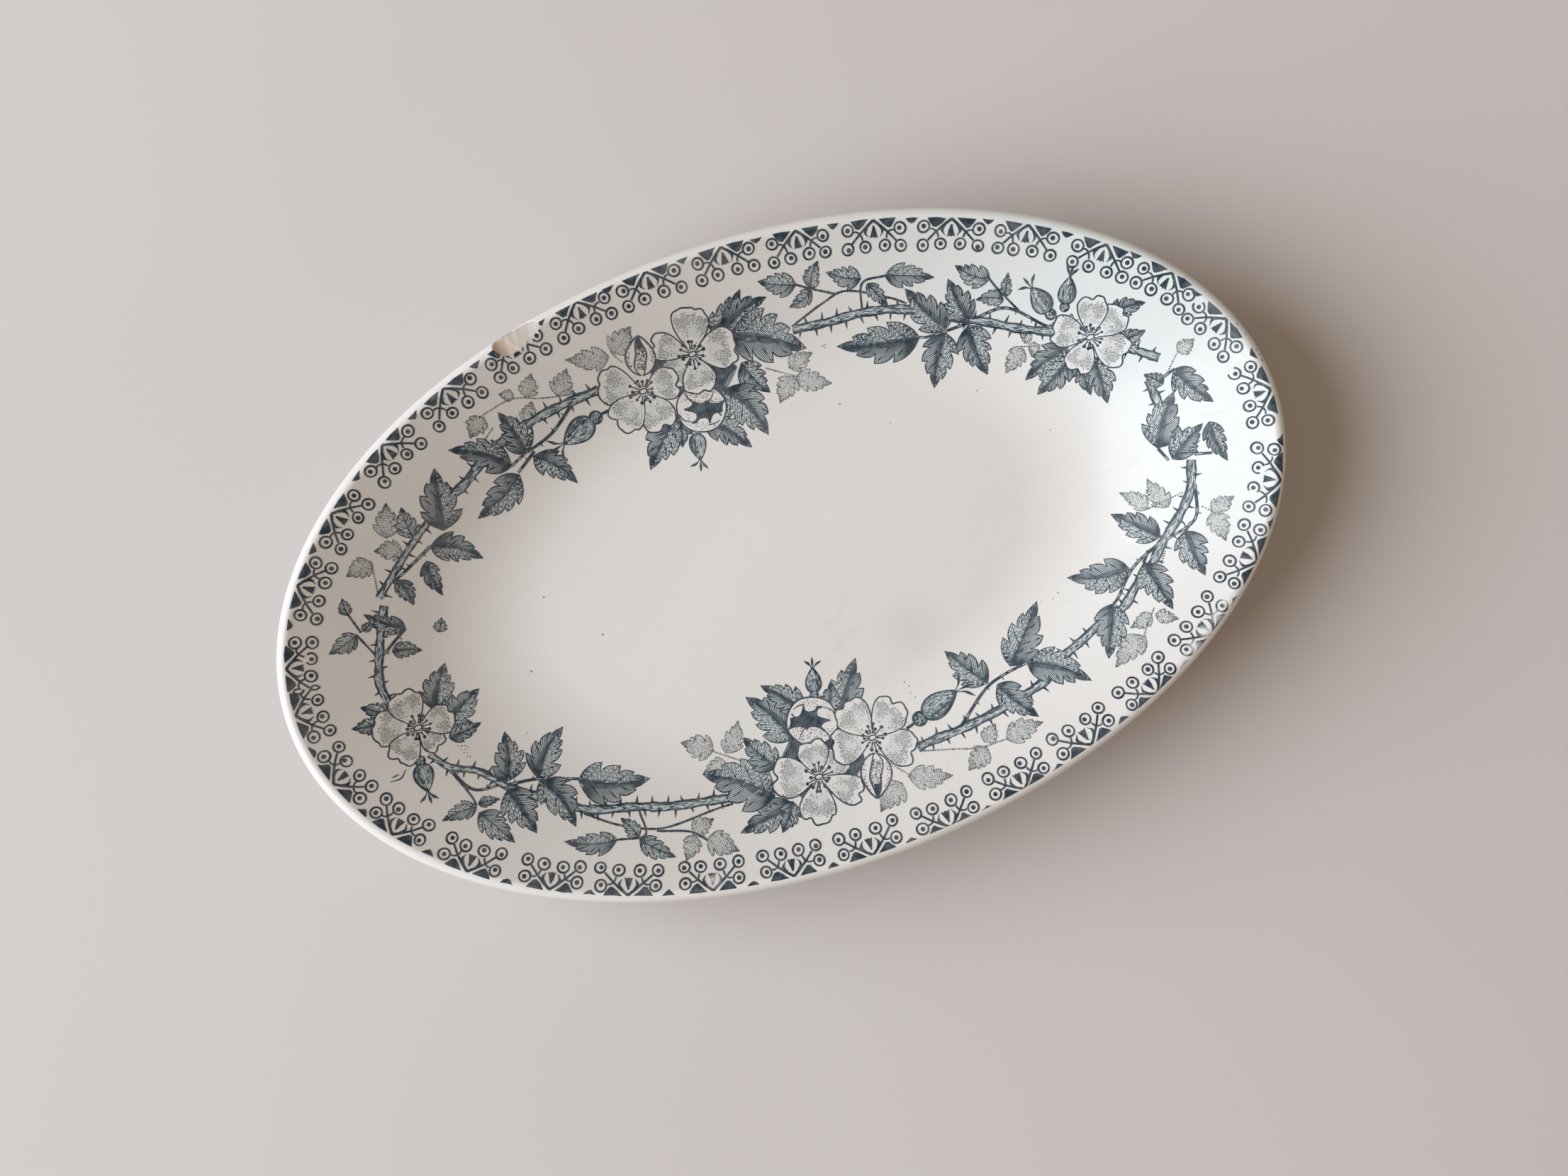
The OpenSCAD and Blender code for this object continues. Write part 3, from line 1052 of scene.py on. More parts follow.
def broken_line(line, pen, covers, rng):
    """Dashes along a line, with short gaps."""
    line, _ = resampled(line, DASH_STEP)
    start = rng.uniform(0.05, 0.6)
    while start < LONGEST_LINE:
        stop = start + rng.uniform(0.55, 1.15)
        dash = line[int(start / DASH_STEP):int(stop / DASH_STEP) + 1]
        if len(dash) > 2:
            draw(leaf_hatch, dash, pen, covers, HATCH_DETAIL)
        start = stop + rng.uniform(0.18, 0.34)


print("hatching lines are", HATCH_STEP, "mm apart")

# %% Inking a leaf
EDGE_SHADED, EDGE_LIT = np.array([0.26, 0.42, 0.26]), np.array([0.24, 0.34, 0.22])
MIDRIB, LEAF_POINT = np.array([0.56, 0.42, 0.30]), np.array([0.26, 0.34, 0.10])
SIDE_VEIN = np.array([0.30, 0.16, 0.24, 0.06])
HATCH_SHADED, HATCH_LIT = np.array([0.31, 0.27, 0.21]), np.array([0.27, 0.24])
SHADE_ABOVE = 0.65
SHADE_DARK, SHADE_LIT = (0.40, 0.30), (0.20, 0.16)


def leaf(ends, breadth, order, rng, bold):
    """Toothed leaf; bold is the weight of its lines, and only bold leaves have shade by the rib."""
    at, up, down, tips, length = leaf_form(ends, breadth, rng)
    outline = np.vstack([up, down[1:-1][::-1]])
    dark = rng.choice([-1, 1])

    def by_midrib(hand, wide, taper):
        t = np.linspace(0.03, 0.90, 12)
        return np.vstack([at(t, 0), at(t[::-1], hand * (wide - taper * t[::-1]))])

    def ink(covers):
        fill(leaf_tone, outline, covers)
        if bold > SHADE_ABOVE:
            fill(leaf_shade, by_midrib(dark, *SHADE_DARK), covers)
            fill(leaf_shade, by_midrib(-dark, *SHADE_LIT), covers)
        for path, hand in ((up, 1), (down, -1)):
            for part in corners_apart(path):
                draw(leaf_lines, part, bold * (EDGE_SHADED if hand == dark else EDGE_LIT), covers)
        draw(leaf_lines, at(np.linspace(0, 0.9, 14), 0), bold * MIDRIB, covers)
        draw(leaf_lines, at(np.linspace(0.90, 1.015, 5), 0), bold * LEAF_POINT, covers)
        for line in hatch_lines(at, outline, dark, length):
            draw(leaf_hatch, line, bold * HATCH_SHADED, covers, HATCH_DETAIL)
        for line in hatch_lines(at, outline, -dark, length):
            broken_line(line, bold * HATCH_LIT, covers, rng)
        share = np.linspace(0, 1.04, 6)
        for t, v in tips:
            draw(leaf_lines, at(t - 0.25 * (1 - share), v * share), bold * SIDE_VEIN, covers)

    motif(order, [outline], ink)


print("a midrib is", MIDRIB[0], "mm wide at the base of a bold leaf")

# %% Faint leaves of dots alone, and stalks of dots
FAINT_STEP, FAINT_EDGE_STEP, FAINT_SWELL = 0.42, 0.40, 1.08


def faint_leaf(ends, breadth, rng):
    at, up, down, _, length = leaf_form(ends, FAINT_SWELL * breadth, rng)
    outline = np.vstack([up, down[1:-1][::-1]])
    across = FAINT_STEP / (0.5 * breadth * length)
    rows = np.array([
        at(t + SLANT * v, hand * v) for t in np.arange(-0.2, 0.97, FAINT_STEP / length)
        for v in np.arange(across / 2, 1.1, across) for hand in (1, -1)])
    rows = rows[inside(rows, outline)]
    edge = resampled(ring_of(outline), FAINT_EDGE_STEP)[0]

    def ink(covers):
        fill(faint_tone, outline, covers)
        stipple(faint_dots, rows + rng.normal(0, 0.05, rows.shape), covers, rng, 0.10, 0.18)
        stipple(faint_dots, edge, covers, rng, 0.14, 0.20)

    motif(LAYERS["sprig"], [outline], ink, False)


def beads(knots, film, radius, step, order, rng):
    """Stalk drawn as a row of dots."""
    row = smooth_path(knots, step)

    def ink(covers):
        stipple(film, row, covers, rng, 0.85 * radius, 1.15 * radius)

    motif(order, [row], ink, False)


print("dots of a faint leaf are", FAINT_STEP, "mm apart")

# %% [markdown]
# ## Blossoms
# An open briar blossom has five petals round a heart of stamens; here and there a petal folds, or a
# blossom is half open and dark inside. Petals could be modelled in relief, but on the ware they
# are only ink: a notched outline, a pale tone, and dots that gather where the petal is hollow.

# %% Shape of a petal
def petal_outline(centre, angle, reach, spread_deg, rng):
    """Round petal with a notch, a smaller curl and a slightly wavy edge."""
    p = np.linspace(-1, 1, 61)
    notch, curl_at = rng.uniform(-0.25, 0.25), rng.choice([-1, 1]) * rng.uniform(0.52, 0.64)
    wave = 1 - 0.09 * np.exp(-((p - notch) / 0.12) ** 2) - 0.05 * np.exp(-((p - curl_at) / 0.09) ** 2)
    wave += 0.022 * np.sin(7 * p + rng.uniform(0, 6)) + 0.012 * np.sin(15 * p + rng.uniform(0, 6))
    far = reach * (0.18 + 0.82 * np.sqrt(np.maximum(1 - np.abs(p) ** 3.4, 0))) * wave
    return centre + far[:, None] * ray(math.radians(angle) + p * math.radians(spread_deg / 2))


PETAL_DOT_STEP = 0.33


def petal_spots(centre, petal, rng):
    """Places of the dots on a petal: two soft hollows, and a band near the edge."""
    angle, reach, wide = petal
    lean, half = rng.uniform(-0.2, 0.2), math.radians(wide / 2)
    spots = []
    for r in np.arange(0.40, 0.88, PETAL_DOT_STEP / reach):
        for p in np.arange(-0.82, 0.82, PETAL_DOT_STEP / (r * reach * half)):
            side = (abs(p - lean) - 0.50) / 0.26
            weight = 1.3 * math.exp(-side**2 - ((r - 0.63) / 0.16) ** 2)
            weight += 0.85 * math.exp(-((r - 0.74) / 0.08) ** 2) * (abs(p) < 0.74)
            if rng.random() < weight:
                a = math.radians(angle) + p * half + rng.normal(0, 0.008)
                spots.append(centre + reach * r * ray(a))
    return spots


print("dots of a petal are", PETAL_DOT_STEP, "mm apart")

# %% An open blossom
PETAL_PEN, STAMEN_PEN, HEART_PEN = [0.22, 0.30, 0.36, 0.30, 0.22], [0.30, 0.20], 0.28
TONE_OUTER, TONE_INNER, TONE_TRIM = 0.84, 0.38, 8
HEART_DOTS, STAMENS, HEART_HALF = 60, 15, np.array([0.92, 0.60])


def heart(centre, covers, rng):
    """Loose dots, stamens with knobs, and a small oval in the middle."""
    a = rng.uniform(0, TURN, HEART_DOTS)
    loose = centre + rng.uniform(1.2, 4.0, HEART_DOTS)[:, None] * ray(a)
    stipple(petal_dots, loose, covers, rng, 0.07, 0.12)
    for k in range(STAMENS):
        a = TURN * (k + rng.uniform(-0.3, 0.3)) / STAMENS
        end = rng.uniform(1.9, 3.3)
        draw(petal_lines, centre + np.linspace(1.0, end, 4)[:, None] * ray(a), STAMEN_PEN, covers)
        knob = centre + end * ray(a)
        if clear_of(knob[None], covers)[0]:
            petal_lines.dot(knob, rng.uniform(0.30, 0.46), 7, a)
    draw(petal_lines, centre + HEART_HALF * ray(np.linspace(0, TURN, 17)), HEART_PEN, covers, CURVE_STEP)


def blossom(centre, petals, order, rng):
    """Petals as angle, reach and spread, from back to front."""
    centre = np.asarray(centre, float)
    outlines = [petal_outline(centre, *petal, rng) for petal in petals]
    whole = [np.vstack([o, centre[None]]) for o in outlines]

    def ink(covers):
        for k, (petal, outline) in enumerate(zip(petals, outlines)):
            front = [*covers, *whole[k + 1:]]
            draw(petal_lines, outline, PETAL_PEN, front, CURVE_STEP)
            spokes = outline[TONE_TRIM:-TONE_TRIM] - centre
            tone = centre + np.vstack([TONE_OUTER * spokes, TONE_INNER * spokes[::-1]])
            fill(petal_tone, tone, front)
            stipple(petal_dots, petal_spots(centre, petal, rng), front, rng, 0.09, 0.135)
        heart(centre, covers, rng)

    motif(order, whole, ink)


print("a blossom has", STAMENS, "stamens")

# %% A folded petal
FOLD_EDGE_PEN, FOLD_PEN = [0.28, 0.36, 0.36], [0.2, 0.34, 0.3]
HOLLOW_DOTS, FLAP_DOTS = 210, 60


def folded_petal(ends, wide, rng):
    """Petal seen edge on: two pale flaps that part over a stippled hollow."""
    line = axes(ends)

    def at(t, v):
        t, v = together(t, v)
        half = 0.5 * wide * np.sin(math.pi * np.clip(t, 0, 1) ** 0.85) ** 0.75 + 0.3 * (1 - t)
        return beside(line, t, v * half)

    t, inner = np.linspace(0, 1, 22), np.linspace(0, 0.97, 22)
    folds = [at(inner, 0.48 - 0.16 * inner + 0.10 * np.sin(9 * inner)),
             at(inner, -0.44 + 0.16 * inner + 0.10 * np.sin(8 * inner))]
    outline = np.vstack([at(t, 1), at(t[::-1], -1)])
    deep = np.linspace(0.68, 0.96, 6)

    def ink(covers):
        for path in (at(t, 1), at(t, -1)):
            draw(petal_lines, path, FOLD_EDGE_PEN, covers, CURVE_STEP)
        for path in folds:
            draw(petal_lines, path, FOLD_PEN, covers, CURVE_STEP)
        fill(petal_lines, np.vstack([at(deep, 0.3), at(deep[::-1], -0.2)]), covers)
        hollow = at(rng.uniform(0.14, 0.80, HOLLOW_DOTS), rng.uniform(-0.38, 0.40, HOLLOW_DOTS))
        stipple(petal_dots, hollow, covers, rng, 0.08, 0.13)
        flaps = [at(a, rng.uniform(0.70, 0.92) * rng.choice([-1, 1]))
                 for a in rng.uniform(0.2, 0.85, FLAP_DOTS)]
        stipple(petal_dots, flaps, covers, rng, 0.08, 0.12)

    motif(LAYERS["fold"], [outline], ink)


print("a folded petal has", HOLLOW_DOTS + FLAP_DOTS, "dots")

# %% Shapes of a half-open blossom, in shares of its size
MOUTH = np.array([
    (-0.48, 0.36), (-0.36, 0.27), (-0.20, 0.21), (-0.02, 0.19), (0.10, 0.21), (0.20, 0.32),
    (0.27, 0.24), (0.42, 0.20), (0.60, 0.20), (0.76, 0.24), (0.90, 0.33), (0.83, 0.18), (0.80, 0.06),
    (0.83, -0.10), (0.70, -0.13), (0.55, -0.15), (0.44, -0.24), (0.38, -0.38), (0.33, -0.58),
    (0.29, -0.40), (0.16, -0.35), (0.0, -0.37), (-0.13, -0.43), (-0.20, -0.57), (-0.38, -0.58),
    (-0.20, -0.46), (-0.16, -0.32), (-0.20, -0.20), (-0.34, -0.13), (-0.52, -0.09), (-0.70, -0.05),
    (-0.50, 0.02), (-0.38, 0.10), (-0.34, 0.20)])
CREASES = [
    [(-0.44, 0.29), (-0.62, 0.50), (-0.70, 0.70)], [(0.14, 0.15), (0.36, 0.38), (0.50, 0.72)],
    [(0.80, -0.28), (0.62, -0.12), (0.42, -0.24)], [(-0.90, -0.25), (-0.70, -0.48), (-0.28, -0.56)],
    [(0.30, -0.64), (0.52, -0.60), (0.74, -0.44)]]
MOUTH_PEN, MOUTH_EDGE_PEN, MOUTH_STEP = [0.30, 0.42, 0.30], 0.30, 0.075
BOWL_PEN, CREASE_PEN, BOWL_DOTS = [0.38, 0.30, 0.36, 0.38], [0.30, 0.24, 0.12], 900
print("the dark mouth has", len(MOUTH), "points, and", len(CREASES), "creases run from it")

# %% A half-open blossom
def bowl_spots(rng):
    """Places of the dots on the bowl: close at the back and below, thin elsewhere."""
    places = rng.uniform(-0.95, 0.95, (BOWL_DOTS, 2))
    x, y = places[:, 0], places[:, 1]
    chance = np.where(y > 0.22, 0.75, 0.0)
    chance += np.where((y < -0.55) & (np.abs(x - 0.2) < 0.45), 0.55, 0.0)
    chance += np.where((x < -0.45) & (y < -0.2), 0.35, 0.05)
    return places[(x**2 + y**2 < 0.80) & (rng.random(len(x)) < chance)]


def cup(centre, size, heading, rng):
    """Half-open blossom: a round bowl of petals curling away from a dark mouth."""
    centre, up = np.asarray(centre, float), ray(math.radians(heading))
    right = np.array([up[1], -up[0]])

    def at(places):
        places = np.asarray(places, float)
        return centre + size * (places[..., 0:1] * right + places[..., 1:2] * up)

    a = np.linspace(0, TURN, 40)[:-1]
    bowl = at(np.stack([np.cos(a), 0.95 * np.sin(a)], -1) * (1 + 0.015 * np.sin(5 * a))[:, None])
    mouth = at(MOUTH)

    def ink(covers):
        fill(leaf_shade, mouth, covers, 1.0)
        for side in np.arange(-0.66, 0.86, MOUTH_STEP):
            path = at([(side + 0.12 * h, h) for h in np.linspace(-0.66, 0.3, 30)])
            keep = inside(path, mouth)
            for part in np.split(path, np.flatnonzero(np.diff(keep.astype(int))) + 1):
                if len(part) > 2 and inside(part[1:2], mouth)[0]:
                    draw(petal_lines, part, MOUTH_PEN, covers)
        draw(petal_lines, ring_of(bowl), BOWL_PEN, covers, CURVE_STEP)
        for part in corners_apart(ring_of(mouth), 35):
            draw(petal_lines, part, MOUTH_EDGE_PEN, covers, CURVE_STEP)
        for knots in CREASES:
            draw(petal_lines, smooth_path(at(knots), 0.4), CREASE_PEN, covers)
        stipple(petal_dots, at(bowl_spots(rng)), [*covers, mouth], rng, 0.07, 0.11)

    motif(LAYERS["cup"], [bowl], ink)


print("its bowl keeps", len(bowl_spots(np.random.default_rng(0))), "of", BOWL_DOTS, "dots")

# %% Deep shade between blossoms
GAP_PEN, GAP_STEP, GAP_SLANT = [0.34, 0.40, 0.34], 0.5, 4


def dark_gap(corners):
    """Shade between petals and leaves, hatched close."""
    outline = np.array(corners, float)
    low, high = outline.min(0), outline.max(0)

    def ink(covers):
        fill(leaf_shade, outline, covers)
        for x in np.arange(low[0] - GAP_SLANT, high[0], GAP_STEP):
            path = np.linspace((x, low[1]), (x + GAP_SLANT, high[1]), 60)
            path = path[inside(path, outline)]
            if len(path) > 2:
                draw(petal_lines, path, GAP_PEN, covers)

    motif(LAYERS["gap"], [outline], ink)


print("lines of the deep shade are", GAP_STEP, "mm apart")

# %% [markdown]
# ## Buds and canes
# The buds are dark pears with long sepals at the tip, and the canes are dark rods set with thorns.
# Both get their roundness from short dashes, light on the lit side and dark on the other. Dashes
# drawn at random within set limits look more like hand work here than an even pattern would.

# %% A bud
BUD_PEN, KNOB_PEN = [0.44, 0.36, 0.48, 0.44], 0.38
SEPAL_LINE_PEN, SEPAL_TIP_PEN = [0.14, 0.36, 0.26], [0.20, 0.22, 0.70, 0.10]
BUD_DASHES = ((cane_lights, 11, 0.18), (bud_lines, 14, -0.45))
DASH_END = 0.08
SEPALS, SEPAL_SWING = 3, 0.66


def bud(ends, breadth, rng):
    """Pear-shaped bud on a round knob, with loose sepals at its tip."""
    line = base, length, ahead, left = axes(ends)

    def at(t, v):
        t, v = together(t, v)
        half = 0.5 * breadth * length * np.sin(math.pi * np.clip(t, 0, 1) ** 0.72) ** 0.80
        return beside(line, t, v * half)

    t = np.linspace(0, 1, 18)
    body = np.vstack([at(t, 1), at(t[1:-1][::-1], -1)])
    knob = base - 0.10 * length * ahead + 0.17 * length * ray(np.linspace(0, TURN, 15)[:-1])

    def ink_body(covers):
        fill(leaf_shade, body, covers, 1.2)
        fill(bud_lines, knob, [*covers, body], 1.0)
        draw(bud_lines, ring_of(body), BUD_PEN, covers, 0.4)
        draw(bud_lines, ring_of(knob), KNOB_PEN, [*covers, body], 0.4)
        s = np.linspace(0.12, 0.96, 14)
        for hand in (1, -1):
            draw(bud_lines, at(s, hand * 0.46 * (1 - 0.85 * s**3)), SEPAL_LINE_PEN, covers)

    def ink(covers):
        ink_body(covers)
        for film, many, middle in BUD_DASHES:
            for _ in range(int(many * length)):
                t0, v = rng.uniform(0.10, 0.84), np.clip(rng.normal(middle, 0.38), -0.86, 0.86)
                dash = t0 + np.array([0, 0.5, 1]) * rng.uniform(0.4, 0.9) / length
                draw(film, at(dash, v), [DASH_END, rng.uniform(0.14, 0.22), DASH_END], covers, CURVE_STEP)
        spots = knob.mean(0) + rng.uniform(-0.12, 0.12, (int(5 * length), 2)) * length
        stipple(cane_lights, spots, [*covers, body], rng, 0.08, 0.15)
        end = base + length * ahead
        for k in range(SEPALS):
            swing = (k - (SEPALS - 1) / 2) * SEPAL_SWING + rng.normal(0, 0.1)
            way = math.cos(swing) * ahead + math.sin(swing) * left
            bow = np.array([-way[1], way[0]]) * swing * 0.12 * length
            knots = [end - 0.06 * length * ahead, end + 0.20 * length * way,
                     end + 0.46 * length * way + bow]
            draw(bud_lines, smooth_path(knots, CURVE_STEP), SEPAL_TIP_PEN, covers, CURVE_STEP)

    motif(LAYERS["bud"], [body, knob], ink)


print("a bud has", SEPALS, "sepals at its tip")

# %% Canes with thorns
CANE_WIDTH, THORN_EVERY = 1.65, 3
UPPER_EDGE_PEN, LOWER_EDGE_PEN, THORN_PEN = 0.34, [0.46, 0.40, 0.46], [0.72, 0.40, 0.10]
CANE_DASHES = ((cane_lines, 2.4, -0.75, 0.5), (cane_lights, 2.1, -0.5, 0.7))
CANE_DASH_END = 0.06


def along_and_left(path):
    """Directions along a path and to its left."""
    run = np.gradient(path, axis=0)
    run /= np.maximum(np.linalg.norm(run, axis=1), TINY)[:, None]
    return run, np.stack([-run[:, 1], run[:, 0]], -1)


def cane(knots, rng, wide=CANE_WIDTH):
    path, _ = resampled(smooth_path(knots), 0.6)
    run, left = along_and_left(path)
    steps = np.arange(len(path))
    waves = 0.12 * np.sin(0.55 * steps + rng.uniform(0, 6))
    width = wide * (1 + waves + rng.normal(0, 0.07, len(steps)))
    up, down = path + left * width[:, None] / 2, path - left * width[:, None] / 2
    outline = np.vstack([up, down[::-1]])

    def ink(covers):
        fill(leaf_shade, outline, covers)
        draw(cane_lines, up, UPPER_EDGE_PEN, covers)
        draw(cane_lines, down, LOWER_EDGE_PEN, covers)
        for film, many, low, high in CANE_DASHES:
            for _ in range(int(many * len(path))):
                i = rng.integers(0, len(path) - 2)
                v = rng.uniform(low, high) + rng.uniform(-0.2, 0.2) * np.arange(3)
                dash = path[i:i + 3] + left[i:i + 3] * (v * width[i] / 2)[:, None]
                draw(film, dash, [CANE_DASH_END, rng.uniform(0.14, 0.26), CANE_DASH_END], covers, CURVE_STEP)
        for n, i in enumerate(range(3, len(path) - 2, THORN_EVERY)):
            hand = 1 if n % 2 else -1
            foot = path[i] + hand * left[i] * width[i] * 0.40
            end = foot + hand * left[i] * rng.uniform(1.3, 1.9) + run[i] * rng.uniform(-0.5, 0.5)
            draw(cane_lines, np.linspace(foot, end, 5), THORN_PEN, covers)

    motif(LAYERS["cane"], [outline], ink)


print("a cane is", CANE_WIDTH, "mm wide")

# %% Thin stalks and loose curls
STALK_PEN, STALK_LIGHT_PEN = [0.75, 0.60], [0.08, 0.20, 0.08]
PRICKLE_EVERY, PRICKLE_PEN = 7, [0.45, 0.1]
CURL_PEN = [0.10, 0.36, 0.10]


def stem(knots, rng):
    """Thin stalk with a few prickles."""
    path = smooth_path(knots)
    _, left = along_and_left(path)

    def ink(covers):
        draw(cane_lines, path, STALK_PEN, covers)
        for part in np.array_split(path, max(2, len(path) // 3)):
            if len(part) > 1 and rng.random() < 0.6:
                draw(cane_lights, part, STALK_LIGHT_PEN, covers)
        for i in range(4, len(path) - 3, PRICKLE_EVERY):
            end = path[i] + rng.choice([-1, 1]) * left[i] * rng.uniform(0.8, 1.1)
            draw(cane_lines, np.linspace(path[i], end, 3), PRICKLE_PEN, covers)

    motif(LAYERS["stem"], [path], ink, False)


def curl(knots):
    """Loose curl beside a bud."""
    path = smooth_path(knots, CURVE_STEP)

    def ink(covers):
        draw(bud_lines, path, CURL_PEN, covers, CURVE_STEP)

    motif(LAYERS["curl"], [path], ink, False)


print("stalks are", STALK_PEN[0], "mm wide at the foot")

# %% [markdown]
# ## Laying out the garland
# The garland was printed from two tissues of the same half, one turned end for end, and each was
# stretched a little as it was laid. So one list turned round would not do, and the two lists below
# give the layout of the two halves in millimetres from the middle of the dish: where each leaf
# starts and ends and how broad it is, where the canes run, and how far each petal reaches.

# %% Leaves of the upper half
UPPER = {
    "weight": 0.82,
    "leaves": [
        (-49.6, 42.2, -52.1, 52.7, 0.58), (-53.7, 40.6, -65.7, 48.1, 0.46),
        (-52.8, 38.2, -65.1, 31.5, 0.47), (-48.2, 41.2, -40.7, 32.3, 0.48),
        (-73.5, 31.3, -70.3, 45.1, 0.55), (-77.5, 28.7, -67.4, 22.4, 0.51),
        (-79.6, 25.7, -78.9, 17.1, 0.43), (-87, 23.5, -85.7, 17, 0.55), (0.6, 55.2, 10.1, 61.8, 0.46),
        (3.6, 54.3, 15.3, 58.5, 0.48), (4.7, 53.3, 20.7, 45, 0.58), (5.2, 46.5, 9.4, 38, 0.6),
        (-1, 42, 5.8, 28.7, 0.58), (-7.2, 36.4, 1.1, 27.1, 0.5), (-12.8, 40, -23.2, 29.7, 0.56),
        (-12.8, 39, -14.4, 32.3, 0.6), (46.9, 38.8, 27.9, 43, 0.42), (53.4, 38.7, 46.8, 50, 0.53),
        (53, 37.7, 46.6, 26.6, 0.56), (58.9, 38.6, 56.8, 48.8, 0.58), (58.5, 37.6, 59.4, 25.5, 0.57),
        (89.2, 28.5, 97.7, 28.8, 0.5), (89.4, 23, 96.1, 22.8, 0.58), (78.8, 25.2, 67.5, 21.3, 0.5),
        (78.9, 22.7, 69.1, 17.2, 0.55), (80.8, 21.6, 80.6, 13, 0.53), (83.3, 21.1, 83.6, 9.9, 0.54),
        (99.8, 12.2, 105.5, 2.1, 0.51), (96.5, 9.8, 93.1, 13.3, 0.62), (90.9, -3.9, 98, 7.2, 0.55),
        (93.2, -7.5, 101.8, -1.9, 0.52), (103.3, -2, 104.2, -11.8, 0.44)],
    "vine_leaves": [
        (-80.3, 31.6, -80.4, 39, 0.62), (22.8, 58.9, 14.7, 62.2, 0.53), (25.9, 57, 29.3, 62.1, 0.55),
        (25.9, 56.5, 19.9, 54.7, 0.49), (38.6, 53.9, 41.9, 47.7, 0.42), (37.6, 55.4, 30.4, 59.2, 0.53),
        (43.1, 54.3, 53.8, 50.3, 0.4), (65.9, 45.7, 59.2, 51.1, 0.53), (67.7, 40.3, 61.7, 42.4, 0.5),
        (68.2, 40.8, 70.3, 45.6, 0.46)],
    "faint_leaves": [
        (-38.1, 52.5, -33.9, 57.3, 0.66), (-45.1, 54.3, -41.9, 58.6, 0.66),
        (-47.5, 55.2, -50.4, 56.5, 0.66), (-55.6, 52.6, -60.2, 49.2, 0.66), (-47.3, 49, -44.1, 52.9, 0.66),
        (-22.8, 57.9, -16.7, 61.7, 0.66), (-23.8, 57, -33.3, 59.2, 0.42), (-86, 33.5, -83.2, 40.9, 0.56),
        (-83.8, 29.6, -89.5, 31.4, 0.66), (-91, 28.9, -97.2, 27.8, 0.62), (15.6, 42, 21.7, 43.5, 0.61),
        (16.6, 39.5, 23.9, 35.4, 0.5), (16.1, 39.5, 10.9, 34.9, 0.62), (68.8, 28.9, 63.5, 24.4, 0.52),
        (71.2, 29.4, 69.2, 31.9, 0.66), (71.8, 28.9, 70.4, 25.9, 0.66), (101.5, 15.7, 105.7, 17.2, 0.66)],
}
print("upper half has", len(UPPER["leaves"]), "leaves on the canes")

# %% Canes and blossoms of the upper half
UPPER |= {
    "buds": [
        (-32.3, 44.9, -40.5, 41.8, 0.62), (-10.3, 34.4, -11.3, 28.2, 0.6), (76.8, 34.2, 74.5, 40.6, 0.66),
        (80.7, 34.6, 83.3, 39.9, 0.66)],
    "canes": [
        [(-28.6, 50.8), (-36.7, 50.2), (-43.8, 49.1), (-51.9, 47), (-59, 43.9), (-65.2, 39.9),
         (-71.2, 37.3)],
        [(19, 49.9), (27.2, 48.9), (35.9, 48.3), (44.5, 46.2), (50.2, 43.1), (56.4, 40.1), (62.5, 37),
         (69.6, 32.9), (76.1, 29.8), (79.6, 27.7)], [(90, 21.5), (97.3, 15.8)],
        [(93.6, 11.8), (94.7, 2.7), (97.1, -4), (98, -8)]],
    "thin_canes": [[(-71.2, 37.3), (-80.3, 31.1), (-86.4, 26), (-92.3, 20.9)]],
    "curls": [],
    "specks": [(24.6, 44.2), (25.3, 44.3), (25, 43.7)],
    "stems": [
        [(-36.2, 49.2), (-42.5, 44.8), (-50.1, 42.2), (-53.7, 40.6)], [(-47.6, 42.2), (-52.8, 38.7)],
        [(-77.5, 28.7), (-85.5, 24.6), (-87.9, 23.5)],
        [(59.4, 38.5), (67.8, 38.4), (75, 31.8), (78.1, 29.7)], [(58.9, 38.1), (49.4, 38.2), (46.9, 38.8)],
        [(82.5, 27.6), (81.3, 32.1)], [(79, 30.7), (77.4, 33.7)], [(-27.2, 45.9), (-31.3, 45.4)],
        [(97, 11.3), (99.8, 12.2)], [(90.9, -3.9), (92.3, -7.5)], [(98, -8), (101.7, -9)]],
    "vines": [
        [(20, 50.9), (27.6, 53.2), (33.6, 54), (42.4, 49.6), (46, 47.1)],
        [(31.1, 54.1), (25.9, 57), (22.8, 58.9)], [(35.8, 48.7), (37.6, 54.4), (43.1, 54.3)],
        [(70.4, 36.8), (67, 43.2), (65.9, 45.7)]],
    "beads": [
        [(-34.1, 51.6), (-41.6, 52.9), (-48, 54.7), (-54, 53.6), (-56, 53.1)],
        [(-21.3, 55.1), (-22.8, 57.5)], [(10.4, 43.5), (16.6, 39.5)], [(-91, 29.4), (-92.3, 20.9)],
        [(76.7, 26.7), (68.8, 28.9)], [(97.9, 11.8), (101.5, 15.7)], [(-54.7, 49.8), (-59.4, 46.3)]],
    "blossoms": [
        (84.1, 25.6, [(-131, 8.4, 80), (148, 9.1, 76), (-47, 9.6, 80), (19, 9.4, 72), (69, 9.2, 72)]),
        (-5.1, 51.9, [(209, 8.7, 76), (149, 9.8, 60), (-7, 10.7, 84), (74, 10.4, 80), (-93, 9.2, 86)]),
        (-18.9, 47.5, [(1, 8.8, 84), (153, 10.7, 78), (284, 10.1, 80), (217, 10.3, 80)])],
    "folded": (-17.9, 50.9, -15.7, 59.4, 6.6),
    "cup": (-7.2, 39.5, 5.9, 71),
    "gap": [(-16, 51), (-11, 56), (0, 53), (4, 46), (-1, 41), (-10, 43), (-14, 45)],
}
print("upper half has", len(UPPER["canes"]), "canes and", len(UPPER["blossoms"]), "open blossoms")

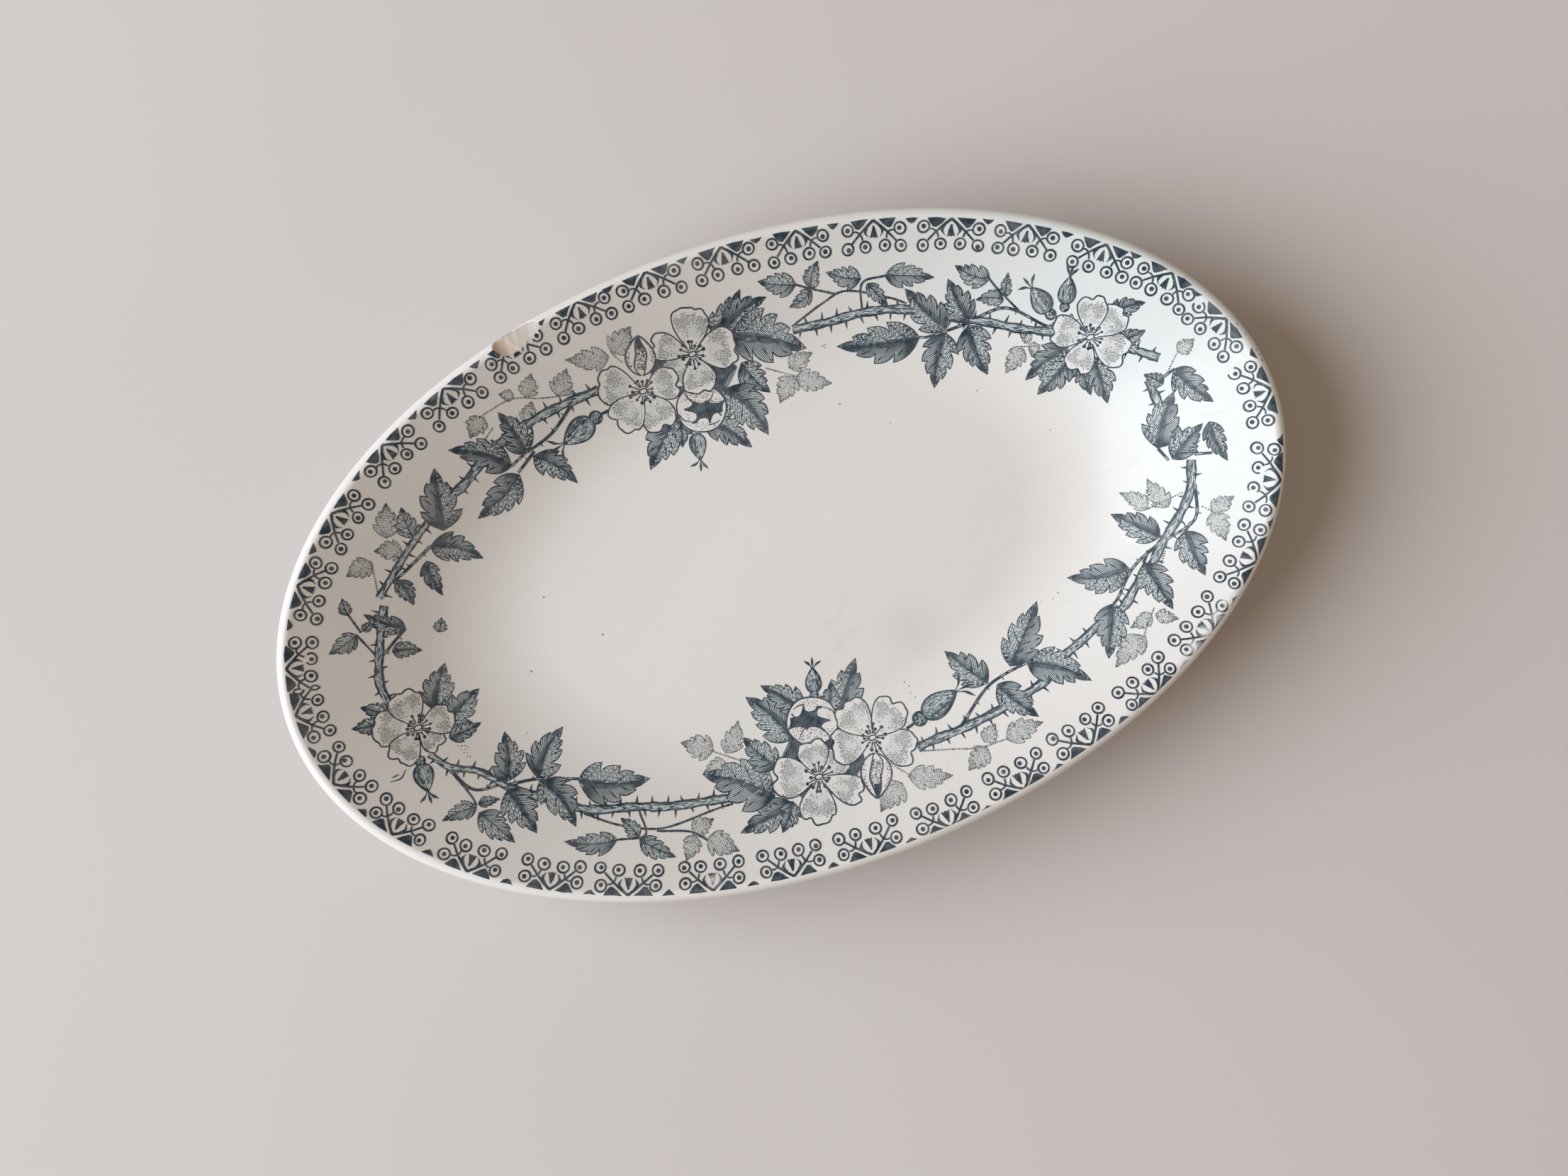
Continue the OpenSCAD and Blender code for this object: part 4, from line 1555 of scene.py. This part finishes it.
# %% Leaves of the lower half
LOWER = {
    "weight": 0.74,
    "leaves": [
        (84.6, -23.8, 76.2, -15.2, 0.5), (75.7, -28.5, 61.9, -26.1, 0.5), (90.3, -24.2, 90.7, -35.2, 0.57),
        (79.1, -28.4, 81.3, -40.3, 0.54), (69.5, -35.1, 63.9, -46.5, 0.52), (36, -43.5, 29, -33.4, 0.54),
        (46.2, -41.9, 58.3, -50, 0.5), (42.2, -41.4, 53.2, -29.2, 0.47), (38, -44.5, 44.1, -54.1, 0.52),
        (-16.3, -55.4, -29.9, -57.7, 0.44), (-16.3, -54.9, -20.7, -60.6, 0.58),
        (-19.9, -52.5, -34.4, -42.5, 0.58), (-17.4, -46.6, -22.7, -37.5, 0.58),
        (-11.8, -41.6, -19.1, -28.7, 0.58), (-7.2, -35.9, -14.9, -27.2, 0.5), (-1, -42.1, 8.3, -28.2, 0.5),
        (-2, -39, 1.1, -31.8, 0.6), (-62.5, -34.2, -46.7, -39.4, 0.52), (-71, -31.5, -65.9, -44, 0.53),
        (-71.1, -31, -62.4, -21.4, 0.55), (-78.4, -30.9, -74.8, -42.4, 0.58),
        (-78.2, -29.2, -75.5, -18.1, 0.58), (-88.8, -8, -83.6, 1.7, 0.62), (-87.8, -12.1, -78.1, -6.5, 0.6),
        (-87.7, -15.2, -80, -14.2, 0.5), (-98.9, -6, -104.1, -1.9, 0.56), (-100.3, -6.5, -107.3, -6, 0.55),
        (-89.2, 12.4, -96.7, 18.3, 0.42), (-93.6, 8.3, -87.4, 6.3, 0.54)],
    "vine_leaves": [
        (-86, -33.8, -80.1, -42.8, 0.47), (-86.1, -32.3, -94.2, -32.7, 0.45),
        (-85.6, -31.8, -80.7, -32.4, 0.44), (-57.7, -50, -69.2, -46.4, 0.38),
        (-52.7, -51.1, -55.5, -45.7, 0.52), (-52.7, -51.6, -45.9, -57.9, 0.44),
        (-99.7, 14.3, -106.7, 12.1, 0.55), (-98.2, 14.8, -95.3, 16.3, 0.59),
        (-100, 19.3, -99.8, 23.3, 0.66), (-82.6, 9.2, -80.9, 12.2, 0.8)],
    "faint_leaves": [
        (88.7, -17.7, 86.5, -10.1, 0.5), (84.4, -16.7, 79.7, -11.1, 0.44),
        (97.1, -21.7, 102.8, -20.1, 0.55), (97.1, -22.2, 97.7, -29.2, 0.57),
        (76.5, -39.9, 71.1, -41.5, 0.5), (77.4, -40.4, 81.6, -42.8, 0.56),
        (73.3, -44.4, 64.7, -48.9, 0.46), (30.5, -55.8, 34.2, -52.8, 0.66),
        (35.5, -56.7, 44.5, -55.6, 0.46), (30.5, -57.2, 24.8, -60.6, 0.6),
        (11.2, -57.8, 20.8, -60.6, 0.44), (-27.8, -39.5, -22.7, -33.4, 0.54),
        (-30.4, -38, -37.1, -33.9, 0.63), (-28.3, -42, -34.4, -42.5, 0.62), (9.2, -58.8, 2.5, -63.1, 0.66),
        (-40.6, -54.2, -35.1, -52.8, 0.62), (-40.5, -54.7, -43.8, -59.4, 0.62),
        (-37.9, -56.6, -31.6, -61.2, 0.58)],
}
print("lower half has", len(LOWER["leaves"]), "leaves on the canes")

# %% Canes and blossoms of the lower half
LOWER |= {
    "buds": [
        (19.1, -46.1, 28.4, -43, 0.56), (-3.5, -32.8, -2, -27.2, 0.62), (-95.3, -18.7, -95.5, -25.2, 0.66)],
    "canes": [
        [(97, -9), (94.5, -15.6), (90, -20.7), (85.1, -24.8), (81, -28.9), (76, -32.5), (71.4, -36.5),
         (65.9, -38.1), (60.3, -40.7), (54.2, -43.3), (49, -46.8), (42.4, -48.8), (34.8, -50.4),
         (26.6, -51.5), (19, -52), (15.4, -52.5)],
        [(-28.4, -50), (-33.2, -49), (-43.9, -46.9), (-52, -44.3), (-61.6, -41.7), (-67.3, -38.1),
         (-74.9, -33), (-78.4, -30.4)], [(-97.9, -3.4), (-98.4, 2.6), (-95, 12.3), (-91.9, 18.9)]],
    "thin_canes": [[(-78.4, -30.4), (-83.5, -24.8), (-89.4, -21.7), (-92.9, -17.2)]],
    "curls": [[(-102.9, -20.4), (-100.4, -20.4), (-98.7, -18.8)], [(-102.2, -19.6), (-100.4, -19.4)]],
    "stems": [
        [(95.9, -14.6), (93.3, -22.2), (86, -24.8)],
        [(84.6, -24.8), (76.7, -28.5), (71, -34.1), (69.5, -35.1)], [(81.1, -25.9), (79.1, -28.4)],
        [(92.3, -22.7), (90.3, -24.2)], [(26.6, -51), (34.5, -45), (39.6, -43), (46.2, -41.9)],
        [(14.5, -47.6), (18.1, -46.6)], [(-78.9, -29.9), (-71.1, -31), (-62, -34.2)],
        [(-89.9, -21.7), (-85.8, -28.3), (-79, -29.4)], [(-89.2, 12.4), (-97, 7.2)],
        [(-94.8, -17.1), (-95.3, -18.7)]],
    "vines": [
        [(-30, -51), (-34.1, -50.9), (-44.2, -51.2), (-49.7, -50.2), (-56.9, -46.7), (-63.1, -42.1)],
        [(-48.2, -51.2), (-41.1, -53.7), (-37.9, -56.6)], [(-51, -45.8), (-51.2, -51.1), (-57.7, -50)],
        [(-89.4, -22.8), (-86.7, -29.3), (-86.1, -31.8)], [(-97.4, 8.7), (-99.7, 14.3)],
        [(-98.7, 14.8), (-100, 19.8)]],
    "beads": [
        [(92.6, -15.6), (84.4, -16.7)], [(95.7, -20.2), (97.1, -21.7)], [(84.5, -27.3), (81.4, -31.4)],
        [(77.5, -38.9), (73.3, -43.9)], [(16.4, -53.5), (23.4, -55.3), (29, -56.7), (35.5, -56.7)],
        [(7.7, -53.5), (12.2, -58.3)], [(-24.7, -42.6), (-30.9, -38)]],
    "specks": [
        (49.3, -31.2), (50.4, -30.6), (52.5, -30.4), (54.2, -29.3), (57, -29.7), (58.6, -28.7), (17.6, -37.2),
        (18.3, -38.4), (18.1, -40), (18.9, -41.4), (-86.4, -17.6), (-85.6, -17.9), (-84.8, -18.1),
        (-86, -18.6), (-85, -18.9), (-84.3, -18.6), (-85.5, -19.6),
        (-84.7, -19.8), (-85.1, -20.6), (-84.5, -20.9)],
    "blossoms": [
        (-93.6, -10.6, [(-59, 6.9, 76), (2, 8.4, 80), (161, 10.2, 78), (223, 8.9, 80), (99, 9.4, 80)]),
        (-8.7, -51.6, [(21, 8.2, 76), (-39, 10.9, 58), (164, 10.9, 84), (-111, 10.4, 78), (85, 8.6, 84)]),
        (6.2, -47.1, [(178, 10.1, 82), (114, 10.5, 80), (-36, 10.5, 78), (35, 10.5, 80)])],
    "folded": (5.7, -50.6, 2.6, -60.2, 6.8),
    "cup": (-6.1, -39, 6.1, 251),
    "gap": [(3, -51), (-3, -57), (-14, -55), (-18, -47), (-12, -41), (-3, -43), (2, -45)],
}
print("lower half has", len(LOWER["canes"]), "canes and", len(LOWER["blossoms"]), "open blossoms")

# %% Draw one half
SPRIG_BEAD, SPRIG_BEAD_STEP = 0.22, 0.55
VINE_BEAD, VINE_BEAD_STEP = 0.30, 0.46
VINE_WEIGHT, THIN_CANE_WIDTH = 0.60, 1.25


def lay(half, seed):
    """Draws one half of the garland from its list."""
    rng = np.random.default_rng(seed)
    for *ends, breadth in half["faint_leaves"]:
        faint_leaf(ends, breadth, rng)
    for knots in half["beads"]:
        beads(knots, faint_dots, SPRIG_BEAD, SPRIG_BEAD_STEP, LAYERS["sprig stalk"], rng)
    for knots in half["vines"]:
        beads(knots, leaf_lines, VINE_BEAD, VINE_BEAD_STEP, LAYERS["vine"], rng)
    for k, (*ends, breadth) in enumerate(half["vine_leaves"]):
        leaf(ends, breadth, LAYERS["vine leaf"] + 0.001 * k, rng, VINE_WEIGHT)
    for knots in half["canes"]:
        cane(knots, rng)
    for knots in half["thin_canes"]:
        cane(knots, rng, THIN_CANE_WIDTH)
    for knots in half["curls"]:
        curl(knots)
    stipple(faint_dots, half["specks"], [], rng, 0.10, 0.20)
    for knots in half["stems"]:
        stem(knots, rng)
    dark_gap(half["gap"])
    for k, (*ends, breadth) in enumerate(half["leaves"]):
        leaf(ends, breadth, LAYERS["leaf"] + 0.01 * k, rng, half["weight"])
    for *ends, breadth in half["buds"]:
        bud(ends, breadth, rng)
    *centre, size, heading = half["cup"]
    cup(centre, size, heading, rng)
    for k, (*centre, petals) in enumerate(half["blossoms"]):
        blossom(centre, petals, LAYERS["blossom"] + 0.1 * k, rng)
    *ends, wide = half["folded"]
    folded_petal(ends, wide, rng)

# %% Draw both halves and lift the films
lay(UPPER, seed=71)
lay(LOWER, seed=72)
print("motifs:", len(motifs))
ink_all()
for film, name, ink in (
        (leaf_tone, "leaf_tone", wash_ink), (leaf_shade, "leaf_shade", shade_ink),
        (leaf_lines, "leaf_outlines", slate_ink), (leaf_hatch, "leaf_hatching", slate_ink),
        (cane_lights, "cane_lights", wash_ink), (cane_lines, "cane_lines", slate_ink),
        (petal_lines, "blossom_lines", slate_ink), (petal_dots, "blossom_stipple", slate_ink),
        (bud_lines, "bud_lines", slate_ink), (faint_dots, "faint_sprigs", faint_ink),
        (faint_tone, "faint_sprig_tone", mist_ink), (petal_tone, "blossom_tone", petal_ink)):
    film.build(name, ink)

# %% [markdown]
# ## Floor and light
# The photograph was taken by a window on the left. A large soft lamp, far off and high up, stands
# in for the window: it leaves the near wall in shade and lights the far one, and the shape of the
# bowl is read from that. A sky texture could fill the shade, but a room is plainer: one warm
# colour lights the dish from all sides, and a paler one is what the camera and the gloss see.

# %% Floor
FLOOR_HALF, MOTTLE_SCALE = 2, 9
FLOOR_PALE, FLOOR_MOTTLED, FLOOR_ROUGH = (0.610, 0.560, 0.540), (0.600, 0.550, 0.530), 0.9
floor_mesh = bpy.data.meshes.new("floor")
corners = [(x * FLOOR_HALF, y * FLOOR_HALF, 0) for x, y in ((-1, -1), (1, -1), (1, 1), (-1, 1))]
floor_mesh.from_pydata(corners, [], [(0, 1, 2, 3)])
floor = bpy.data.objects.new("floor", floor_mesh)
bpy.context.scene.collection.objects.link(floor)
floor_finish, tree, shade, where = new_finish("pale floor")
mottle = spread(tree, noise(tree, where, MOTTLE_SCALE, 1), 0.35, 0.65)
tree.links.new(mixed(tree, mottle, FLOOR_PALE, FLOOR_MOTTLED), shade.inputs["Base Color"])
shade.inputs["Roughness"].default_value = FLOOR_ROUGH
floor_mesh.materials.append(floor_finish)
print("floor is", 2 * FLOOR_HALF, "m wide")

# %% Window
WINDOW_SIZE, WINDOW_WATTS = 2.2, 69.0
WINDOW_COLOUR = (0.805, 0.905, 1.0)
WINDOW_AT, WINDOW_AIM = Vector((-1.61, 0.34, 1.13)), Vector((0, 0, 0.01))
light = bpy.data.lights.new("window", "AREA")
light.shape, light.size, light.energy, light.color = "DISK", WINDOW_SIZE, WINDOW_WATTS, WINDOW_COLOUR
window = bpy.data.objects.new("window", light)
window.location = WINDOW_AT
window.rotation_euler = (WINDOW_AIM - WINDOW_AT).to_track_quat("-Z", "Y").to_euler()
bpy.context.scene.collection.objects.link(window)
print("window is", round(WINDOW_AT.length, 2), "m away")

# %% Room
ROOM_COLOUR, ROOM_STRENGTH = (1.0, 0.79, 0.585, 1), 0.335
BACKDROP_COLOUR = (0.55, 0.51, 0.48, 1)
world = bpy.data.worlds.new("room")
world.use_nodes = True
sky = world.node_tree
room = sky.nodes["Background"]
room.inputs["Color"].default_value = ROOM_COLOUR
room.inputs["Strength"].default_value = ROOM_STRENGTH
backdrop = add(sky, "ShaderNodeBackground", {"Color": BACKDROP_COLOUR})
rays = sky.nodes.new("ShaderNodeLightPath").outputs
seen = add(sky, "ShaderNodeMath", {0: rays["Is Camera Ray"], 1: rays["Is Glossy Ray"]},
           operation="MAXIMUM")
either = add(sky, "ShaderNodeMixShader", {0: seen, 1: room.outputs[0], 2: backdrop})
sky.links.new(either, sky.nodes["World Output"].inputs["Surface"])
bpy.context.scene.world = world
bpy.context.scene.view_settings.view_transform = "Standard"
print("room light has strength", ROOM_STRENGTH)

# %% [markdown]
# ## Camera
# The photograph looks straight down from about arm's length, with the dish turned a little. The
# camera could be turned by eye, but it is worked out here: the dish's known length and its length
# in the photograph's pixels give the width of the view, and that gives the lens.

# %% Camera
PHOTO_WIDTH, PHOTO_HEIGHT = 2212, 1659
PHOTO_TURN = math.radians(19.1)
DISH_LENGTH, DISH_PIXELS = 240, 1478
MM_PER_PIXEL = DISH_LENGTH / DISH_PIXELS
CAMERA_OVER_RIM = 0.66
CAMERA_X, CAMERA_Y, RIM_Z = -1.83 * MM, -7.31 * MM, 0.030
SENSOR_WIDTH = 36
camera_data = bpy.data.cameras.new("camera")
camera_data.sensor_fit, camera_data.sensor_width = "HORIZONTAL", SENSOR_WIDTH
camera_data.lens = SENSOR_WIDTH * CAMERA_OVER_RIM / (PHOTO_WIDTH * MM_PER_PIXEL * MM)
camera = bpy.data.objects.new("camera", camera_data)
camera.location = (CAMERA_X, CAMERA_Y, RIM_Z + CAMERA_OVER_RIM)
camera.rotation_euler = (0, 0, -PHOTO_TURN)
bpy.context.scene.collection.objects.link(camera)
bpy.context.scene.camera = camera
print("lens", round(camera_data.lens, 1), "mm for an image of", PHOTO_WIDTH, "x", PHOTO_HEIGHT)
